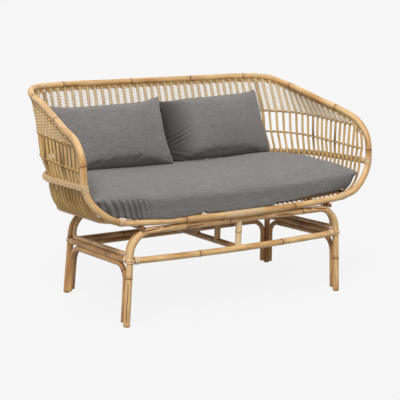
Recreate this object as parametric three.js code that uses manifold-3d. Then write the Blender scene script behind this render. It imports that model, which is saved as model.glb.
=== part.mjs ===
// Rattan garden sofa: a bent pole base, a rim loop with a cane shell, a cane deck and three cushions.
// Millimetres, +Z up, +X to the right of someone who faces the front, the front towards -Y.
// The origin is on the ground, at the centre of the whole sofa's outline.
import * as THREE from "three";
import { mergeVertices } from "three/addons/utils/BufferGeometryUtils.js";
import Module from "manifold-3d";

const wasm = await Module();
wasm.setup();

// Fits
const clearance = 0.3; // between pieces that touch
const overrun = 30; // how far a cut runs past what it cuts
const bindOverlap = 0.8; // how far bound canes press into each other

// Pole and cane diameters
const rimDiameter = 27;
const legDiameter = 27;
const stretcherDiameter = 26;
const centreStretcherDiameter = 25;
const postDiameter = 26;
const bearerDiameter = 18;
const upperBraceDiameter = 17;
const lowerBraceDiameter = 22;
const midHoopDiameter = 22;
const ringDiameter = 22;
const cornerPostDiameter = 14;
const caneDiameter = 9;
const crossCaneDiameter = 10;
const rowDiameter = 8;
const wrapThickness = 2.4;

// Base
const footHalfWidth = 519;
const footHalfDepth = 253;
const shoulderHalfWidth = 499.5; // where the leg line meets the top rail line
const railHalfDepth = 241;
const frontRailHeight = 369.5;
const backRailDrop = 21; // below the front rail
const hoopBendRadius = 95;
const scarfHalfSpacing = 300;
const scarfLength = 250;
const frontStretcherDrop = 111.5; // below the hoop's rail
const backStretcherDrop = 123.5;
const stretcherBow = 14;
const stretcherSag = 5;
const braceBendRadius = 62;
const braceFootHeight = 12;
const upperBraceBendRadius = 20;
const upperBraceTopAngle = THREE.MathUtils.degToRad(60); // along the hoop's bend, where it ends
const upperBraceTurnAngle = THREE.MathUtils.degToRad(22.5); // where it leaves the hoop's bend
const sideBearerHalfSpacing = 455;
const postPitch = 150;
const postCount = 4;

// Lashings and wraps
const lashBeltHeight = 14;
const lashSleeveLength = 24;
const cornerWrapLength = 27;
const sideWrapLength = 28;
const ringWrapLength = 29;
const wrapBranchLength = 17;
const centreWrapLength = 188;
const centreWrapOffset = 15;

// Rim loop
const rimHalfWidth = 689;
const rimFront = -252;
const rimBack = 448;
const backRise = 447; // from the seat rail to the back rail
const cornerPostInset = 148; // inside the rim's widest place
const cornerPostBottomDraw = 16;
const seatJointInset = 145;

// Half of the rim loop from the back to the front: across, back and up, as shares of the sizes above.
const rimShares = [
  [0.374, 1, 1],
  [0.697, 1, 0.998],
  [0.862, 0.963, 0.984],
  [0.916, 0.871, 0.953],
  [0.93, 0.706, 0.911],
  [0.956, 0.513, 0.843],
  [0.984, 0.327, 0.779],
  [0.993, 0.164, 0.705],
  [1, 0.076, 0.568],
  [0.997, 0.049, 0.333],
  [0.964, 0.036, 0.213],
  [0.872, 0.014, 0.085],
  [0.79, 0.024, 0.034],
  [0.614, 0.013, 0.013],
  [0.244, 0, 0],
];

// Shell levels: height over the seat rail, and how far each lies inside the rim at the sides and back
const bandRise = 295;
const bandSideInset = 11.5;
const bandBackInset = 53;
const bandCornerRadius = 255;
const rowRise = 202;
const rowSideInset = 17;
const rowBackInset = 75;
const rowCornerRadius = 248;
const midHoopRise = 137;
const midHoopSideInset = 9;
const midHoopBackInset = 108;
const midHoopCornerRadius = 275;
const ringSideInset = 99;
const ringBackInset = 148;
const ringCornerRadius = 150;
const hoopFallShare = 0.07; // how much the hoop and ring drop for each length towards the back
const hoopStandoff = 1.6; // between the hoop's axis line and the canes, for its facets
const hoopFrontRise = 149; // where the mid hoop meets the front of the arm
const ringFrontInset = 123;

// Canes
const armCaneCount = 19;
const backCaneCount = 30;
const frontCaneSetback = 92; // the last arm cane's top, behind the seat rail
const frontCaneRowSetback = 62;
const caneBellyDepth = 104; // how far below the mid hoop the canes keep their outer line
const deckCanePitch = 25;
const deckInset = 164; // inside the rim's widest place
const crossCaneSetbacks = [152, 382]; // behind the seat rail

// Seat cushion
const cushionSideGap = 12;
const cushionHeight = 78; // from the deck to the crease at the front
const cushionEdgeRise = 16; // the crease rises to the ends
const cushionCrown = 34;
const cushionFrontBow = 96;
const cushionFrontOverhang = 14;
const cushionTipDraw = 8; // how far the front corners lie inside the sides

// Rings of the cushion from the deck up to the crease: insets, and the share of the way up
const cushionSideRings = [
  { sideInset: 132, frontInset: 88, riseShare: 0 },
  { sideInset: 62, frontInset: 3, riseShare: 0 },
  { sideInset: 15, frontInset: 0, riseShare: 0.4 },
  { sideInset: 0, frontInset: 4, riseShare: 1 },
];

// Rings over the crease: insets, and the share of the crown reached there
const cushionTopRings = [
  { inset: 16, crownShare: 0.3 },
  { inset: 60, crownShare: 0.66 },
  { inset: 130, crownShare: 0.92 },
  { inset: 200, crownShare: 1 },
];

// Pillows
const leftPillowWidth = 530;
const rightPillowWidth = 580;
const pillowHeight = 300;
const pillowThickness = 150;
const pillowGap = 14;
const pillowMeetingOffset = 65; // the two meet this far left of the middle
const leftPillowTurn = THREE.MathUtils.degToRad(4); // about the place where they meet
const rightPillowTurn = THREE.MathUtils.degToRad(8.5);
const pillowLean = THREE.MathUtils.degToRad(25);
const pillowSink = 6; // how far the pillow's lower edge presses into the seat's crown
const pillowFootSetback = 427; // the lower edge, behind the seat rail
const pillowDrawShare = 0.02; // how far the sides draw in between the corners
const pillowSwellPower = 0.45;
const pillowRingShares = [0.34, 0.64, 0.88];

// Facets
const poleSides = 8;
const thinPoleSides = 6;
const caneSides = 4;
const bendSteps = 5;
const straightAngle = THREE.MathUtils.degToRad(0.5);
const levelSteps = 10; // along each round corner of the mid hoop and the ring
const rimSamples = 40; // for each station of the rim, to measure along it
const halvings = 40; // in the search for a place on the rim
const loopRingsPerStation = 2;
const frontRailRingsPerStation = 3;
const cushionBayCount = 14; // outline points along the front and along the back
const pillowSideSteps = 8;

const backRailHeight = frontRailHeight - backRailDrop;
const frontStretcherHeight = frontRailHeight - frontStretcherDrop;
const backStretcherHeight = backRailHeight - backStretcherDrop;
const cornerPostSpread = rimHalfWidth - cornerPostInset;
const seatJointSpread = rimHalfWidth - seatJointInset;
const ringFrontSpread = rimHalfWidth - ringFrontInset;
const deckHalfWidth = rimHalfWidth - deckInset;

const radiusOf = (diameter) => diameter / 2;
const rimRadius = radiusOf(rimDiameter);
const legRadius = radiusOf(legDiameter);
const stretcherRadius = radiusOf(stretcherDiameter);
const bearerRadius = radiusOf(bearerDiameter);
const ringRadius = radiusOf(ringDiameter);
const midHoopRadius = radiusOf(midHoopDiameter);
const caneRadius = radiusOf(caneDiameter);
const crossCaneRadius = radiusOf(crossCaneDiameter);

const point = (x, y, z) => new THREE.Vector3(x, y, z);
const mix = THREE.MathUtils.lerp;

// A line through chosen points, with one ring of a pole's surface at each of them
class PolePath extends THREE.Curve {
  constructor(points) {
    super();
    this.points = points;
  }

  getPoint(t, target = new THREE.Vector3()) {
    const place = t * (this.points.length - 1);
    const before = Math.min(Math.floor(place), this.points.length - 2);
    return target.lerpVectors(this.points[before], this.points[before + 1], place - before);
  }

  getUtoTmapping(u) {
    return u;
  }

  getTangent(t, target = new THREE.Vector3()) {
    const last = this.points.length - 1;
    const index = Math.round(t * last);
    const here = this.points[index];
    const arriving = here.clone().sub(this.points[Math.max(index - 1, 0)]).normalize();
    const leaving = this.points[Math.min(index + 1, last)].clone().sub(here).normalize();
    return target.addVectors(arriving, leaving).normalize();
  }
}

// Straight runs between corners, with an arc at each inner corner
function rounded(corners, radius) {
  const points = [corners[0]];
  for (let i = 1; i < corners.length - 1; i++) {
    const corner = corners[i];
    const back = corners[i - 1].clone().sub(corner).normalize();
    const ahead = corners[i + 1].clone().sub(corner).normalize();
    const half = back.angleTo(ahead) / 2;
    const centre = back.clone().add(ahead).setLength(radius / Math.sin(half)).add(corner);
    const reach = radius / Math.tan(half);
    const start = back.multiplyScalar(reach).add(corner).sub(centre);
    const end = ahead.multiplyScalar(reach).add(corner).sub(centre);
    const sweep = Math.PI - 2 * half;
    for (let k = 0; k <= bendSteps; k++) {
      const angle = (sweep * k) / bendSteps;
      const onArc = start.clone().multiplyScalar(Math.sin(sweep - angle));
      onArc.addScaledVector(end, Math.sin(angle)).divideScalar(Math.sin(sweep));
      points.push(onArc.add(centre));
    }
  }
  points.push(corners.at(-1));
  return points;
}

// The same points with each end drawn back along its own run
function trimmed(points, atStart, atEnd) {
  const run = (end, next, length) => next.clone().sub(end).setLength(length).add(end);
  return [
    run(points[0], points[1], atStart),
    ...points.slice(1, -1),
    run(points.at(-1), points.at(-2), atEnd),
  ];
}

const mirrored = (points) => points.map((p) => point(-p.x, p.y, p.z));
const onSide = (side, points) => (side < 0 ? mirrored(points) : points);

function solidOf(geometry) {
  const bare = geometry.index ? geometry.toNonIndexed() : geometry.clone();
  bare.deleteAttribute("normal");
  bare.deleteAttribute("uv");
  const merged = mergeVertices(bare);
  return new wasm.Manifold(
    new wasm.Mesh({
      numProp: 3,
      vertProperties: merged.attributes.position.array,
      triVerts: new Uint32Array(merged.index.array),
    }),
  );
}

function geometryOf(solid) {
  const mesh = solid.getMesh();
  const geometry = new THREE.BufferGeometry();
  geometry.setAttribute("position", new THREE.BufferAttribute(mesh.vertProperties, 3));
  geometry.setIndex(new THREE.BufferAttribute(mesh.triVerts, 1));
  const faceted = geometry.toNonIndexed();
  faceted.computeVertexNormals();
  return faceted;
}

function polygon(radius, sides, turn = 0) {
  return Array.from({ length: sides }, (_, i) => {
    const angle = turn + (2 * Math.PI * i) / sides;
    return new THREE.Vector2(radius * Math.cos(angle), radius * Math.sin(angle));
  });
}

function swept(section, path) {
  const settings = { steps: path.points.length - 1, extrudePath: path, bevelEnabled: false };
  return solidOf(new THREE.ExtrudeGeometry(section, settings));
}

// A pole along points. Where facing is given, one of its edges starts out on that side.
function pole(points, radius, sides = poleSides, facing = null) {
  const path = new PolePath(points);
  let turn = 0;
  if (facing) {
    const { normals, binormals } = path.computeFrenetFrames(points.length - 1, false);
    turn = Math.atan2(facing.dot(binormals[0]), facing.dot(normals[0]));
  }
  return swept(new THREE.Shape(polygon(radius, sides, turn)), path);
}

// A cane wrap round a pole: its flats clear the pole. Grown by extra, it is made solid.
function wrapOn(points, poleRadius, extra) {
  const inner = (poleRadius + clearance) / Math.cos(Math.PI / poleSides);
  const outer = inner + wrapThickness;
  if (extra > 0) return pole(points, outer + extra);
  const section = new THREE.Shape(polygon(outer, poleSides));
  section.holes.push(new THREE.Path(polygon(inner, poleSides).reverse()));
  return swept(section, new PolePath(points));
}

// A box cutter with a plane through a point: it removes what lies beyond the plane
function halfSpace(through, direction, size) {
  const box = new THREE.BoxGeometry(size, size, size);
  box.translate(0, 0, size / 2);
  const turn = new THREE.Quaternion().setFromUnitVectors(
    point(0, 0, 1),
    direction.clone().normalize(),
  );
  box.applyQuaternion(turn);
  box.translate(through.x, through.y, through.z);
  return solidOf(box);
}

const joined = (solids) => solids.reduce((whole, solid) => whole.add(solid));

function largestBody(solid) {
  return solid.decompose().sort((a, b) => b.volume() - a.volume())[0];
}

function boxesMeet(a, b) {
  const apart = [0, 1, 2].some((i) => a.min[i] > b.max[i] || b.min[i] > a.max[i]);
  return !apart;
}

const finishes = {
  pole: new THREE.MeshStandardMaterial({ color: 0xc9995a, roughness: 0.45, metalness: 0 }),
  cane: new THREE.MeshStandardMaterial({ color: 0xd6ad70, roughness: 0.55, metalness: 0 }),
  wrap: new THREE.MeshStandardMaterial({ color: 0xe0c08c, roughness: 0.6, metalness: 0 }),
  cloth: new THREE.MeshStandardMaterial({ color: 0x6b6b6c, roughness: 0.95, metalness: 0 }),
};

const sofa = new THREE.Group();
const placed = [];

// Adds one piece. make(extra) gives its solid with its radii larger by extra, and the piece is
// coped to every piece placed before it.
function place(name, finish, make) {
  let solid = make(0);
  const box = solid.boundingBox();
  for (const other of placed) {
    if (boxesMeet(box, other.box)) solid = solid.subtract(other.grown);
  }
  solid = largestBody(solid);
  const grown = make(clearance);
  placed.push({ name, grown, box: grown.boundingBox() });
  const mesh = new THREE.Mesh(geometryOf(solid), finishes[finish].clone());
  mesh.name = name;
  sofa.add(mesh);
  return solid;
}

const sides = [
  { word: "left", side: -1 },
  { word: "right", side: 1 },
];

// Base hoops: two legs and a top rail, front and back
const legSpan = 3 * (footHalfWidth + frontRailHeight);
const scarfReach = scarfHalfSpacing + scarfLength / 2;

const hoops = {
  front: { end: -1, railHeight: frontRailHeight, stretcherHeight: frontStretcherHeight },
  back: { end: 1, railHeight: backRailHeight, stretcherHeight: backStretcherHeight },
};

// The leg's axis at a height, on the right-hand side
function legAt(hoop, height) {
  const share = height / hoop.railHeight;
  return point(
    mix(footHalfWidth, shoulderHalfWidth, share),
    hoop.end * mix(footHalfDepth, railHalfDepth, share),
    height,
  );
}

function legPoints(hoop, side) {
  const corners = [
    legAt(hoop, -overrun),
    legAt(hoop, hoop.railHeight),
    point(scarfHalfSpacing - scarfLength / 2, hoop.end * railHalfDepth, hoop.railHeight),
  ];
  return onSide(side, rounded(corners, hoopBendRadius));
}

const railPoints = (hoop) => {
  const end = point(scarfReach, hoop.end * railHalfDepth, hoop.railHeight);
  return [mirrored([end])[0], end];
};

// The slanted cut where a leg's bent end lies on the top rail: down takes what is under it, and
// otherwise what is over it. It ends where the leg's bend begins.
function scarfCut(hoop, side, down) {
  const sign = down ? -1 : 1;
  const rail = (x, lift) => point(side * x, hoop.end * railHalfDepth, hoop.railHeight + lift);
  const direction = point(side * sign * legDiameter, 0, sign * scarfLength);
  const beyond = halfSpace(rail(scarfHalfSpacing, (-sign * clearance) / 2), direction, legSpan);
  const inward = halfSpace(rail(scarfReach, 0), point(-side, 0, 0), legSpan);
  return beyond.intersect(inward);
}

const ground = halfSpace(point(0, 0, 0), point(0, 0, -1), legSpan);

for (const [hoopName, hoop] of Object.entries(hoops)) {
  for (const { word, side } of sides) {
    place(`${hoopName}_${word}_leg`, "pole", (extra) => {
      const whole = pole(legPoints(hoop, side), legRadius + extra);
      return whole.subtract(ground).subtract(scarfCut(hoop, side, true));
    });
  }
  place(`${hoopName}_top_rail`, "pole", (extra) => {
    const whole = pole(railPoints(hoop), legRadius + extra);
    return whole.subtract(scarfCut(hoop, -1, false)).subtract(scarfCut(hoop, 1, false));
  });
}

// Stretchers between the legs
const legJoint = (hoop, side) =>
  onSide(side, [legAt(hoop, hoop.stretcherHeight)])[0];

const frontStretcherCentre = point(
  0,
  legJoint(hoops.front, 1).y - stretcherBow,
  frontStretcherHeight - stretcherSag,
);
const backStretcherCentre = point(0, legJoint(hoops.back, 1).y, backStretcherHeight);

function frontStretcherPoints() {
  const control = frontStretcherCentre.clone().multiplyScalar(2);
  control.sub(legJoint(hoops.front, 1).setX(0));
  const curve = new THREE.QuadraticBezierCurve3(
    legJoint(hoops.front, -1),
    control,
    legJoint(hoops.front, 1),
  );
  return curve.getPoints(2 * bendSteps);
}

place("front_stretcher", "pole", (extra) => pole(frontStretcherPoints(), stretcherRadius + extra));
place("back_stretcher", "pole", (extra) =>
  pole([legJoint(hoops.back, -1), legJoint(hoops.back, 1)], stretcherRadius + extra),
);
for (const { word, side } of sides) {
  const ends = [legJoint(hoops.front, side), legJoint(hoops.back, side)];
  place(`${word}_stretcher`, "pole", (extra) => pole(ends, stretcherRadius + extra));
}
place("centre_stretcher", "pole", (extra) =>
  pole([frontStretcherCentre, backStretcherCentre], radiusOf(centreStretcherDiameter) + extra),
);

// Lower braces: inverted U poles under the side and back stretchers, with their ends beside the legs
const lowerBraceRadius = radiusOf(lowerBraceDiameter);
const toFlat = (radius, sides) => radius * Math.cos(Math.PI / sides);
const braceDrop = toFlat(stretcherRadius, poleSides) + toFlat(lowerBraceRadius, thinPoleSides) + clearance;
const braceStandoff = legRadius + lowerBraceRadius + clearance;

function sideBracePoints(side) {
  const beside = (hoop, height) =>
    legAt(hoop, height).add(point(0, -hoop.end * braceStandoff, 0));
  const corners = [
    beside(hoops.front, braceFootHeight),
    beside(hoops.front, frontStretcherHeight - braceDrop),
    beside(hoops.back, backStretcherHeight - braceDrop),
    beside(hoops.back, braceFootHeight),
  ];
  return onSide(side, rounded(corners, braceBendRadius));
}

function backBracePoints() {
  const beside = (side, height) =>
    onSide(side, [legAt(hoops.back, height).add(point(-braceStandoff, 0, 0))])[0];
  const top = backStretcherHeight - braceDrop;
  const corners = [
    beside(-1, braceFootHeight),
    beside(-1, top),
    beside(1, top),
    beside(1, braceFootHeight),
  ];
  return rounded(corners, braceBendRadius);
}

for (const { word, side } of sides) {
  place(`${word}_lower_brace`, "pole", (extra) =>
    pole(sideBracePoints(side), lowerBraceRadius + extra, thinPoleSides),
  );
}
place("back_lower_brace", "pole", (extra) =>
  pole(backBracePoints(), lowerBraceRadius + extra, thinPoleSides),
);

// Upper braces: U poles that lie on the side stretchers and rise behind the hoops' bends
const upperBraceRadius = radiusOf(upperBraceDiameter);
const upperBraceStandoff = legRadius + upperBraceRadius + clearance;

function bendPoint(hoop, angle) {
  const centreX = legAt(hoop, hoop.railHeight - hoopBendRadius).x - hoopBendRadius;
  return point(
    centreX + hoopBendRadius * Math.cos(angle),
    hoop.end * (railHalfDepth - upperBraceStandoff),
    hoop.railHeight - hoopBendRadius * (1 - Math.sin(angle)),
  );
}

function upperBracePoints(side) {
  const run = (hoop) => {
    const low = bendPoint(hoop, 0);
    const height = hoop.stretcherHeight + stretcherRadius + upperBraceRadius + clearance;
    return point(legAt(hoop, height).x, low.y, height);
  };
  const corners = [
    bendPoint(hoops.front, upperBraceTopAngle),
    bendPoint(hoops.front, upperBraceTurnAngle),
    run(hoops.front),
    run(hoops.back),
    bendPoint(hoops.back, upperBraceTurnAngle),
    bendPoint(hoops.back, upperBraceTopAngle),
  ];
  const [first, second, third, fourth, fifth, sixth] = corners;
  const middle = rounded([second, third, fourth, fifth], upperBraceBendRadius);
  return onSide(side, [first, ...middle, sixth]);
}

for (const { word, side } of sides) {
  place(`${word}_upper_brace`, "pole", (extra) =>
    pole(upperBracePoints(side), upperBraceRadius + extra, thinPoleSides),
  );
}

// Heights stacked on the hoops: bearers on the top rails, cross canes on the centre bearer,
// deck canes on the cross canes, and the seat rail and ring under the deck canes
const bearerLift = legRadius + clearance + bearerRadius;

// A height at a depth, on the line over the two top rails
const overRails = (y, lift) => {
  const share = (y + railHalfDepth) / (2 * railHalfDepth);
  return mix(frontRailHeight, backRailHeight, share) + lift;
};

const deckLift =
  bearerLift +
  bearerRadius +
  clearance +
  crossCaneDiameter +
  caneRadius -
  bindOverlap;
const seatRailHeight = overRails(rimFront, deckLift) - caneRadius - clearance - rimRadius;
const ringBack = rimBack - ringBackInset;
const ringBackHeight = overRails(ringBack, deckLift) - caneRadius - clearance - ringRadius;

// The rim loop
const rimHalf = rimShares.map(([across, back, up]) =>
  point(
    across * rimHalfWidth,
    mix(rimFront, rimBack, back),
    seatRailHeight + up * backRise,
  ),
);
const rimCurve = new THREE.CatmullRomCurve3(
  [...rimHalf, ...mirrored(rimHalf).reverse()],
  true,
  "centripetal",
);
const stationCount = 2 * rimHalf.length;
const rimAt = (station) => rimCurve.getPoint(((station + stationCount) % stationCount) / stationCount);

// The station on the right half where a coordinate passes a value, between two stations
function rimStation(axis, value, from, to) {
  const rising = rimAt(to)[axis] > rimAt(from)[axis];
  let low = from;
  let high = to;
  for (let i = 0; i < halvings; i++) {
    const middle = (low + high) / 2;
    const before = rimAt(middle)[axis] < value === rising;
    if (before) low = middle;
    else high = middle;
  }
  return (low + high) / 2;
}

const backCentreStation = -0.5;
const widestStation = 8;
const frontCentreStation = rimHalf.length - 0.5;
const topCornerStation = rimStation("x", cornerPostSpread, 0, 4);
const bottomCornerStation = rimStation("x", seatJointSpread, widestStation + 2, frontCentreStation);
const midHoopStation = rimStation(
  "z",
  seatRailHeight + hoopFrontRise,
  widestStation - 2,
  bottomCornerStation,
);
const ringFrontStation = rimStation("x", ringFrontSpread, widestStation + 2, frontCentreStation);
const seatJointStation = rimStation("x", centreWrapOffset, frontCentreStation - 1, frontCentreStation + 1);

function rimStretch(from, to, perStation) {
  const steps = Math.max(1, Math.round((to - from) * perStation));
  return Array.from({ length: steps + 1 }, (_, i) => rimAt(mix(from, to, i / steps)));
}

// On the left, a station counts from the far end of the loop
const leftStation = (station) => stationCount - 1 - station;

function rimPiece(name, from, to, perStation = loopRingsPerStation) {
  const points = trimmed(rimStretch(from, to, perStation), clearance / 2, clearance / 2);
  place(name, "pole", (extra) => pole(points, rimRadius + extra));
}

rimPiece("rim_back_rail", leftStation(topCornerStation) - stationCount, topCornerStation);
rimPiece("rim_right_arm", topCornerStation, bottomCornerStation);
rimPiece("rim_left_arm", leftStation(bottomCornerStation), leftStation(topCornerStation));
rimPiece("front_rail_right", bottomCornerStation, seatJointStation, frontRailRingsPerStation);
rimPiece("front_rail_left", seatJointStation, leftStation(bottomCornerStation), frontRailRingsPerStation);

// Shell levels: each is a U in plan, measured by its length from the middle of the back
const fallAt = (y) => -hoopFallShare * y;
const levels = {
  band: {
    halfWidth: rimHalfWidth - bandSideInset,
    back: rimBack - bandBackInset,
    corner: bandCornerRadius,
    post: cornerPostSpread,
    height: () => seatRailHeight + bandRise,
  },
  row: {
    halfWidth: rimHalfWidth - rowSideInset,
    back: rimBack - rowBackInset,
    corner: rowCornerRadius,
    post: cornerPostSpread,
    height: () => seatRailHeight + rowRise,
  },
  midHoop: {
    halfWidth: rimHalfWidth - midHoopSideInset,
    back: rimBack - midHoopBackInset,
    corner: midHoopCornerRadius,
    post: cornerPostSpread - cornerPostBottomDraw / 2,
    height: (y) => seatRailHeight + midHoopRise + fallAt(y),
  },
  ring: {
    halfWidth: rimHalfWidth - ringSideInset,
    back: ringBack,
    corner: ringCornerRadius,
    post: cornerPostSpread - cornerPostBottomDraw,
    height: (y) => ringBackHeight + fallAt(y - ringBack),
  },
};

// The same level drawn in on every side
const drawnIn = (level, inset) => ({
  ...level,
  halfWidth: level.halfWidth - inset,
  back: level.back - inset,
  corner: level.corner - inset,
});

const sideStart = (level) => level.halfWidth - level.corner + (level.corner * Math.PI) / 2;
const lengthAtDepth = (level, y) => sideStart(level) + level.back - level.corner - y;

function lengthAtSpread(level, x) {
  const straight = level.halfWidth - level.corner;
  if (x <= straight) return x;
  return straight + level.corner * Math.asin((x - straight) / level.corner);
}

function levelPoint(level, length) {
  const straight = level.halfWidth - level.corner;
  const distance = Math.abs(length);
  let x = distance;
  let y = level.back;
  if (distance > sideStart(level)) {
    x = level.halfWidth;
    y = level.back - level.corner - (distance - sideStart(level));
  } else if (distance > straight) {
    const angle = (distance - straight) / level.corner;
    x = straight + level.corner * Math.sin(angle);
    y = level.back - level.corner * (1 - Math.cos(angle));
  }
  return point(Math.sign(length) * x, y, level.height(y));
}

// The level direction that points out of the shell
function outwardAt(level, length) {
  const straight = level.halfWidth - level.corner;
  const distance = THREE.MathUtils.clamp(Math.abs(length), straight, sideStart(level));
  const angle = (distance - straight) / level.corner;
  return point(Math.sign(length) * Math.sin(angle), Math.cos(angle), 0);
}

// Points along a level from the middle of the back to a depth on the right-hand side
function levelHalf(level, frontDepth) {
  const straight = level.halfWidth - level.corner;
  const arc = Array.from({ length: levelSteps + 1 }, (_, i) =>
    mix(straight, sideStart(level), i / levelSteps),
  );
  return [...arc, lengthAtDepth(level, frontDepth)].map((length) => levelPoint(level, length));
}

function uShape(half, end) {
  const right = [...half, end];
  return [...mirrored(right).reverse(), ...right];
}

// The mid hoop runs round the outside of the canes, the ring carries their lower ends
const midHoopEnd = rimAt(midHoopStation);
const midHoopPoints = uShape(levelHalf(levels.midHoop, midHoopEnd.y + rimDiameter), midHoopEnd);
place("mid_hoop", "pole", (extra) => pole(midHoopPoints, midHoopRadius + extra, thinPoleSides));

const ringEnd = rimAt(ringFrontStation);
const ringPoints = uShape(levelHalf(levels.ring, ringEnd.y + 3 * rimDiameter), ringEnd);
place("bottom_ring", "pole", (extra) => pole(ringPoints, ringRadius + extra, thinPoleSides));

// Bearers: the centre one lies on the top rails, the side ones on the hoops' bends
function bearerPoints(x) {
  const seatOn = (hoop) => {
    const centreX = legAt(hoop, hoop.railHeight - hoopBendRadius).x - hoopBendRadius;
    const past = Math.max(0, Math.abs(x) - centreX);
    const reach = hoopBendRadius + bearerLift;
    const height = hoop.railHeight - hoopBendRadius + Math.sqrt(reach * reach - past * past);
    return point(x, hoop.end * railHalfDepth, height);
  };
  const front = seatOn(hoops.front);
  const back = seatOn(hoops.back);
  const run = back.clone().sub(front).setLength(bearerDiameter);
  return [front.clone().sub(run), back.clone().add(run)];
}

place("centre_bearer", "pole", (extra) => pole(bearerPoints(0), bearerRadius + extra));
for (const { word, side } of sides) {
  place(`${word}_bearer`, "pole", (extra) =>
    pole(bearerPoints(side * sideBearerHalfSpacing), bearerRadius + extra),
  );
}

// Posts: the first stands on the front stretcher, the others on the centre stretcher
const postRadius = radiusOf(postDiameter);
for (let i = 0; i < postCount; i++) {
  const y = -railHalfDepth + i * postPitch;
  const share = (y - frontStretcherCentre.y) / (backStretcherCentre.y - frontStretcherCentre.y);
  const foot = mix(frontStretcherCentre.z, backStretcherCentre.z, share);
  const ends = [point(0, y, foot), point(0, y, overRails(y, i === 0 ? 0 : bearerLift))];
  place(`post_${i + 1}`, "pole", (extra) => pole(ends, postRadius + extra));
}

// Corner posts of the shell, from the back rail down to the ring
const hoopInset = midHoopRadius + hoopStandoff + caneRadius;
const innerHoop = drawnIn(levels.midHoop, hoopInset);
const postHoop = drawnIn(levels.midHoop, midHoopRadius + hoopStandoff + radiusOf(cornerPostDiameter));

function cornerPostPoints(side) {
  const passing = [levels.band, levels.row, postHoop, levels.ring];
  const below = passing.map((level) => levelPoint(level, lengthAtSpread(level, level.post)));
  return onSide(side, [rimAt(topCornerStation), ...below]);
}

for (const { word, side } of sides) {
  place(`${word}_corner_post`, "cane", (extra) =>
    pole(cornerPostPoints(side), radiusOf(cornerPostDiameter) + extra, thinPoleSides),
  );
}

// Lashings where the stretchers meet the legs: a belt round the leg and a sleeve on the stretcher
function runFrom(from, towards, start, length) {
  const direction = towards.clone().sub(from).normalize();
  const first = from.clone().addScaledVector(direction, start);
  return [first, first.clone().addScaledVector(direction, length)];
}

const sleeveStart = legRadius / 2; // beside the leg, where the sleeve's sides meet the belt
const sleeveRun = legRadius - sleeveStart + lashSleeveLength;
for (const [hoopName, hoop] of Object.entries(hoops)) {
  const across = hoop.end < 0 ? frontStretcherPoints() : [legJoint(hoop, -1), legJoint(hoop, 1)];
  for (const { word, side } of sides) {
    const joint = legJoint(hoop, side);
    const along = side < 0 ? across[1] : across.at(-2);
    const up = onSide(side, [legAt(hoop, hoop.railHeight)])[0];
    const belt = runFrom(joint, up, -lashBeltHeight / 2, lashBeltHeight);
    const neck = runFrom(joint, along, sleeveStart, sleeveRun);
    place(`${hoopName}_${word}_lashing`, "wrap", (extra) =>
      wrapOn(belt, legRadius, extra).add(wrapOn(neck, stretcherRadius, extra)),
    );
  }
}

// Wraps round the rim, with a short branch over the pole that joins it there
function stationsAround(station, length) {
  const nearby = 0.01;
  const step = rimAt(station + nearby).distanceTo(rimAt(station - nearby)) / (2 * nearby);
  return length / 2 / step;
}

function rimWrap(name, station, length, branch) {
  const half = stationsAround(station, length);
  const steps = Math.max(1, Math.round(length / (2 * rimDiameter)));
  place(name, "wrap", (extra) => {
    const points = rimStretch(station - half, station + half, steps / (2 * half));
    const round = wrapOn(points, rimRadius, extra);
    if (!branch) return round;
    const limb = runFrom(rimAt(station), branch.towards, rimRadius + 2 * clearance, wrapBranchLength);
    return round.add(wrapOn(limb, branch.radius, extra));
  });
}

for (const { word, side } of sides) {
  const stationOn = (station) => (side < 0 ? leftStation(station) : station);
  const towards = (points, index) => onSide(side, [points.at(index)])[0];
  rimWrap(`${word}_corner_wrap`, stationOn(topCornerStation), cornerWrapLength, {
    towards: onSide(side, cornerPostPoints(1))[1],
    radius: radiusOf(cornerPostDiameter),
  });
  rimWrap(`${word}_arm_wrap`, stationOn(midHoopStation), sideWrapLength, {
    towards: towards(midHoopPoints, -2),
    radius: midHoopRadius,
  });
  rimWrap(`${word}_seat_wrap`, stationOn(bottomCornerStation), ringWrapLength);
}
rimWrap("centre_wrap", seatJointStation, centreWrapLength);

// Canes of the shell: each runs from the rim past the levels to the ring
const rimLengths = [0];
for (let i = 1; i <= rimSamples * rimHalf.length; i++) {
  const from = rimAt(backCentreStation + (i - 1) / rimSamples);
  const to = rimAt(backCentreStation + i / rimSamples);
  rimLengths.push(rimLengths.at(-1) + from.distanceTo(to));
}

const rimLengthAt = (station) => rimLengths[Math.round((station - backCentreStation) * rimSamples)];

function rimPointAtLength(length) {
  const distance = Math.abs(length);
  const next = Math.max(1, rimLengths.findIndex((value) => value >= distance));
  const share = (distance - rimLengths[next - 1]) / (rimLengths[next] - rimLengths[next - 1]);
  const found = rimAt(backCentreStation + (next - 1 + share) / rimSamples);
  return length < 0 ? mirrored([found])[0] : found;
}

const topFrontStation = rimStation("y", rimFront + frontCaneSetback, 4, widestStation + 1);
const rowFront = rimFront + frontCaneRowSetback;
const caneLevels = [levels.band, levels.row, innerHoop, levels.ring];

// Lengths along the rim and each level for a cane: share 0 is the corner post, 1 the front
const armLengths = (share) => [
  mix(rimLengthAt(topCornerStation), rimLengthAt(topFrontStation), share),
  ...caneLevels.map((level) =>
    mix(lengthAtSpread(level, level.post), lengthAtDepth(level, rowFront), share),
  ),
];

// The same across the back: share 0 is the middle, 1 the corner post
const backLengths = (share) => [
  share * rimLengthAt(topCornerStation),
  ...caneLevels.map((level) => share * lengthAtSpread(level, level.post)),
];

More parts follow.
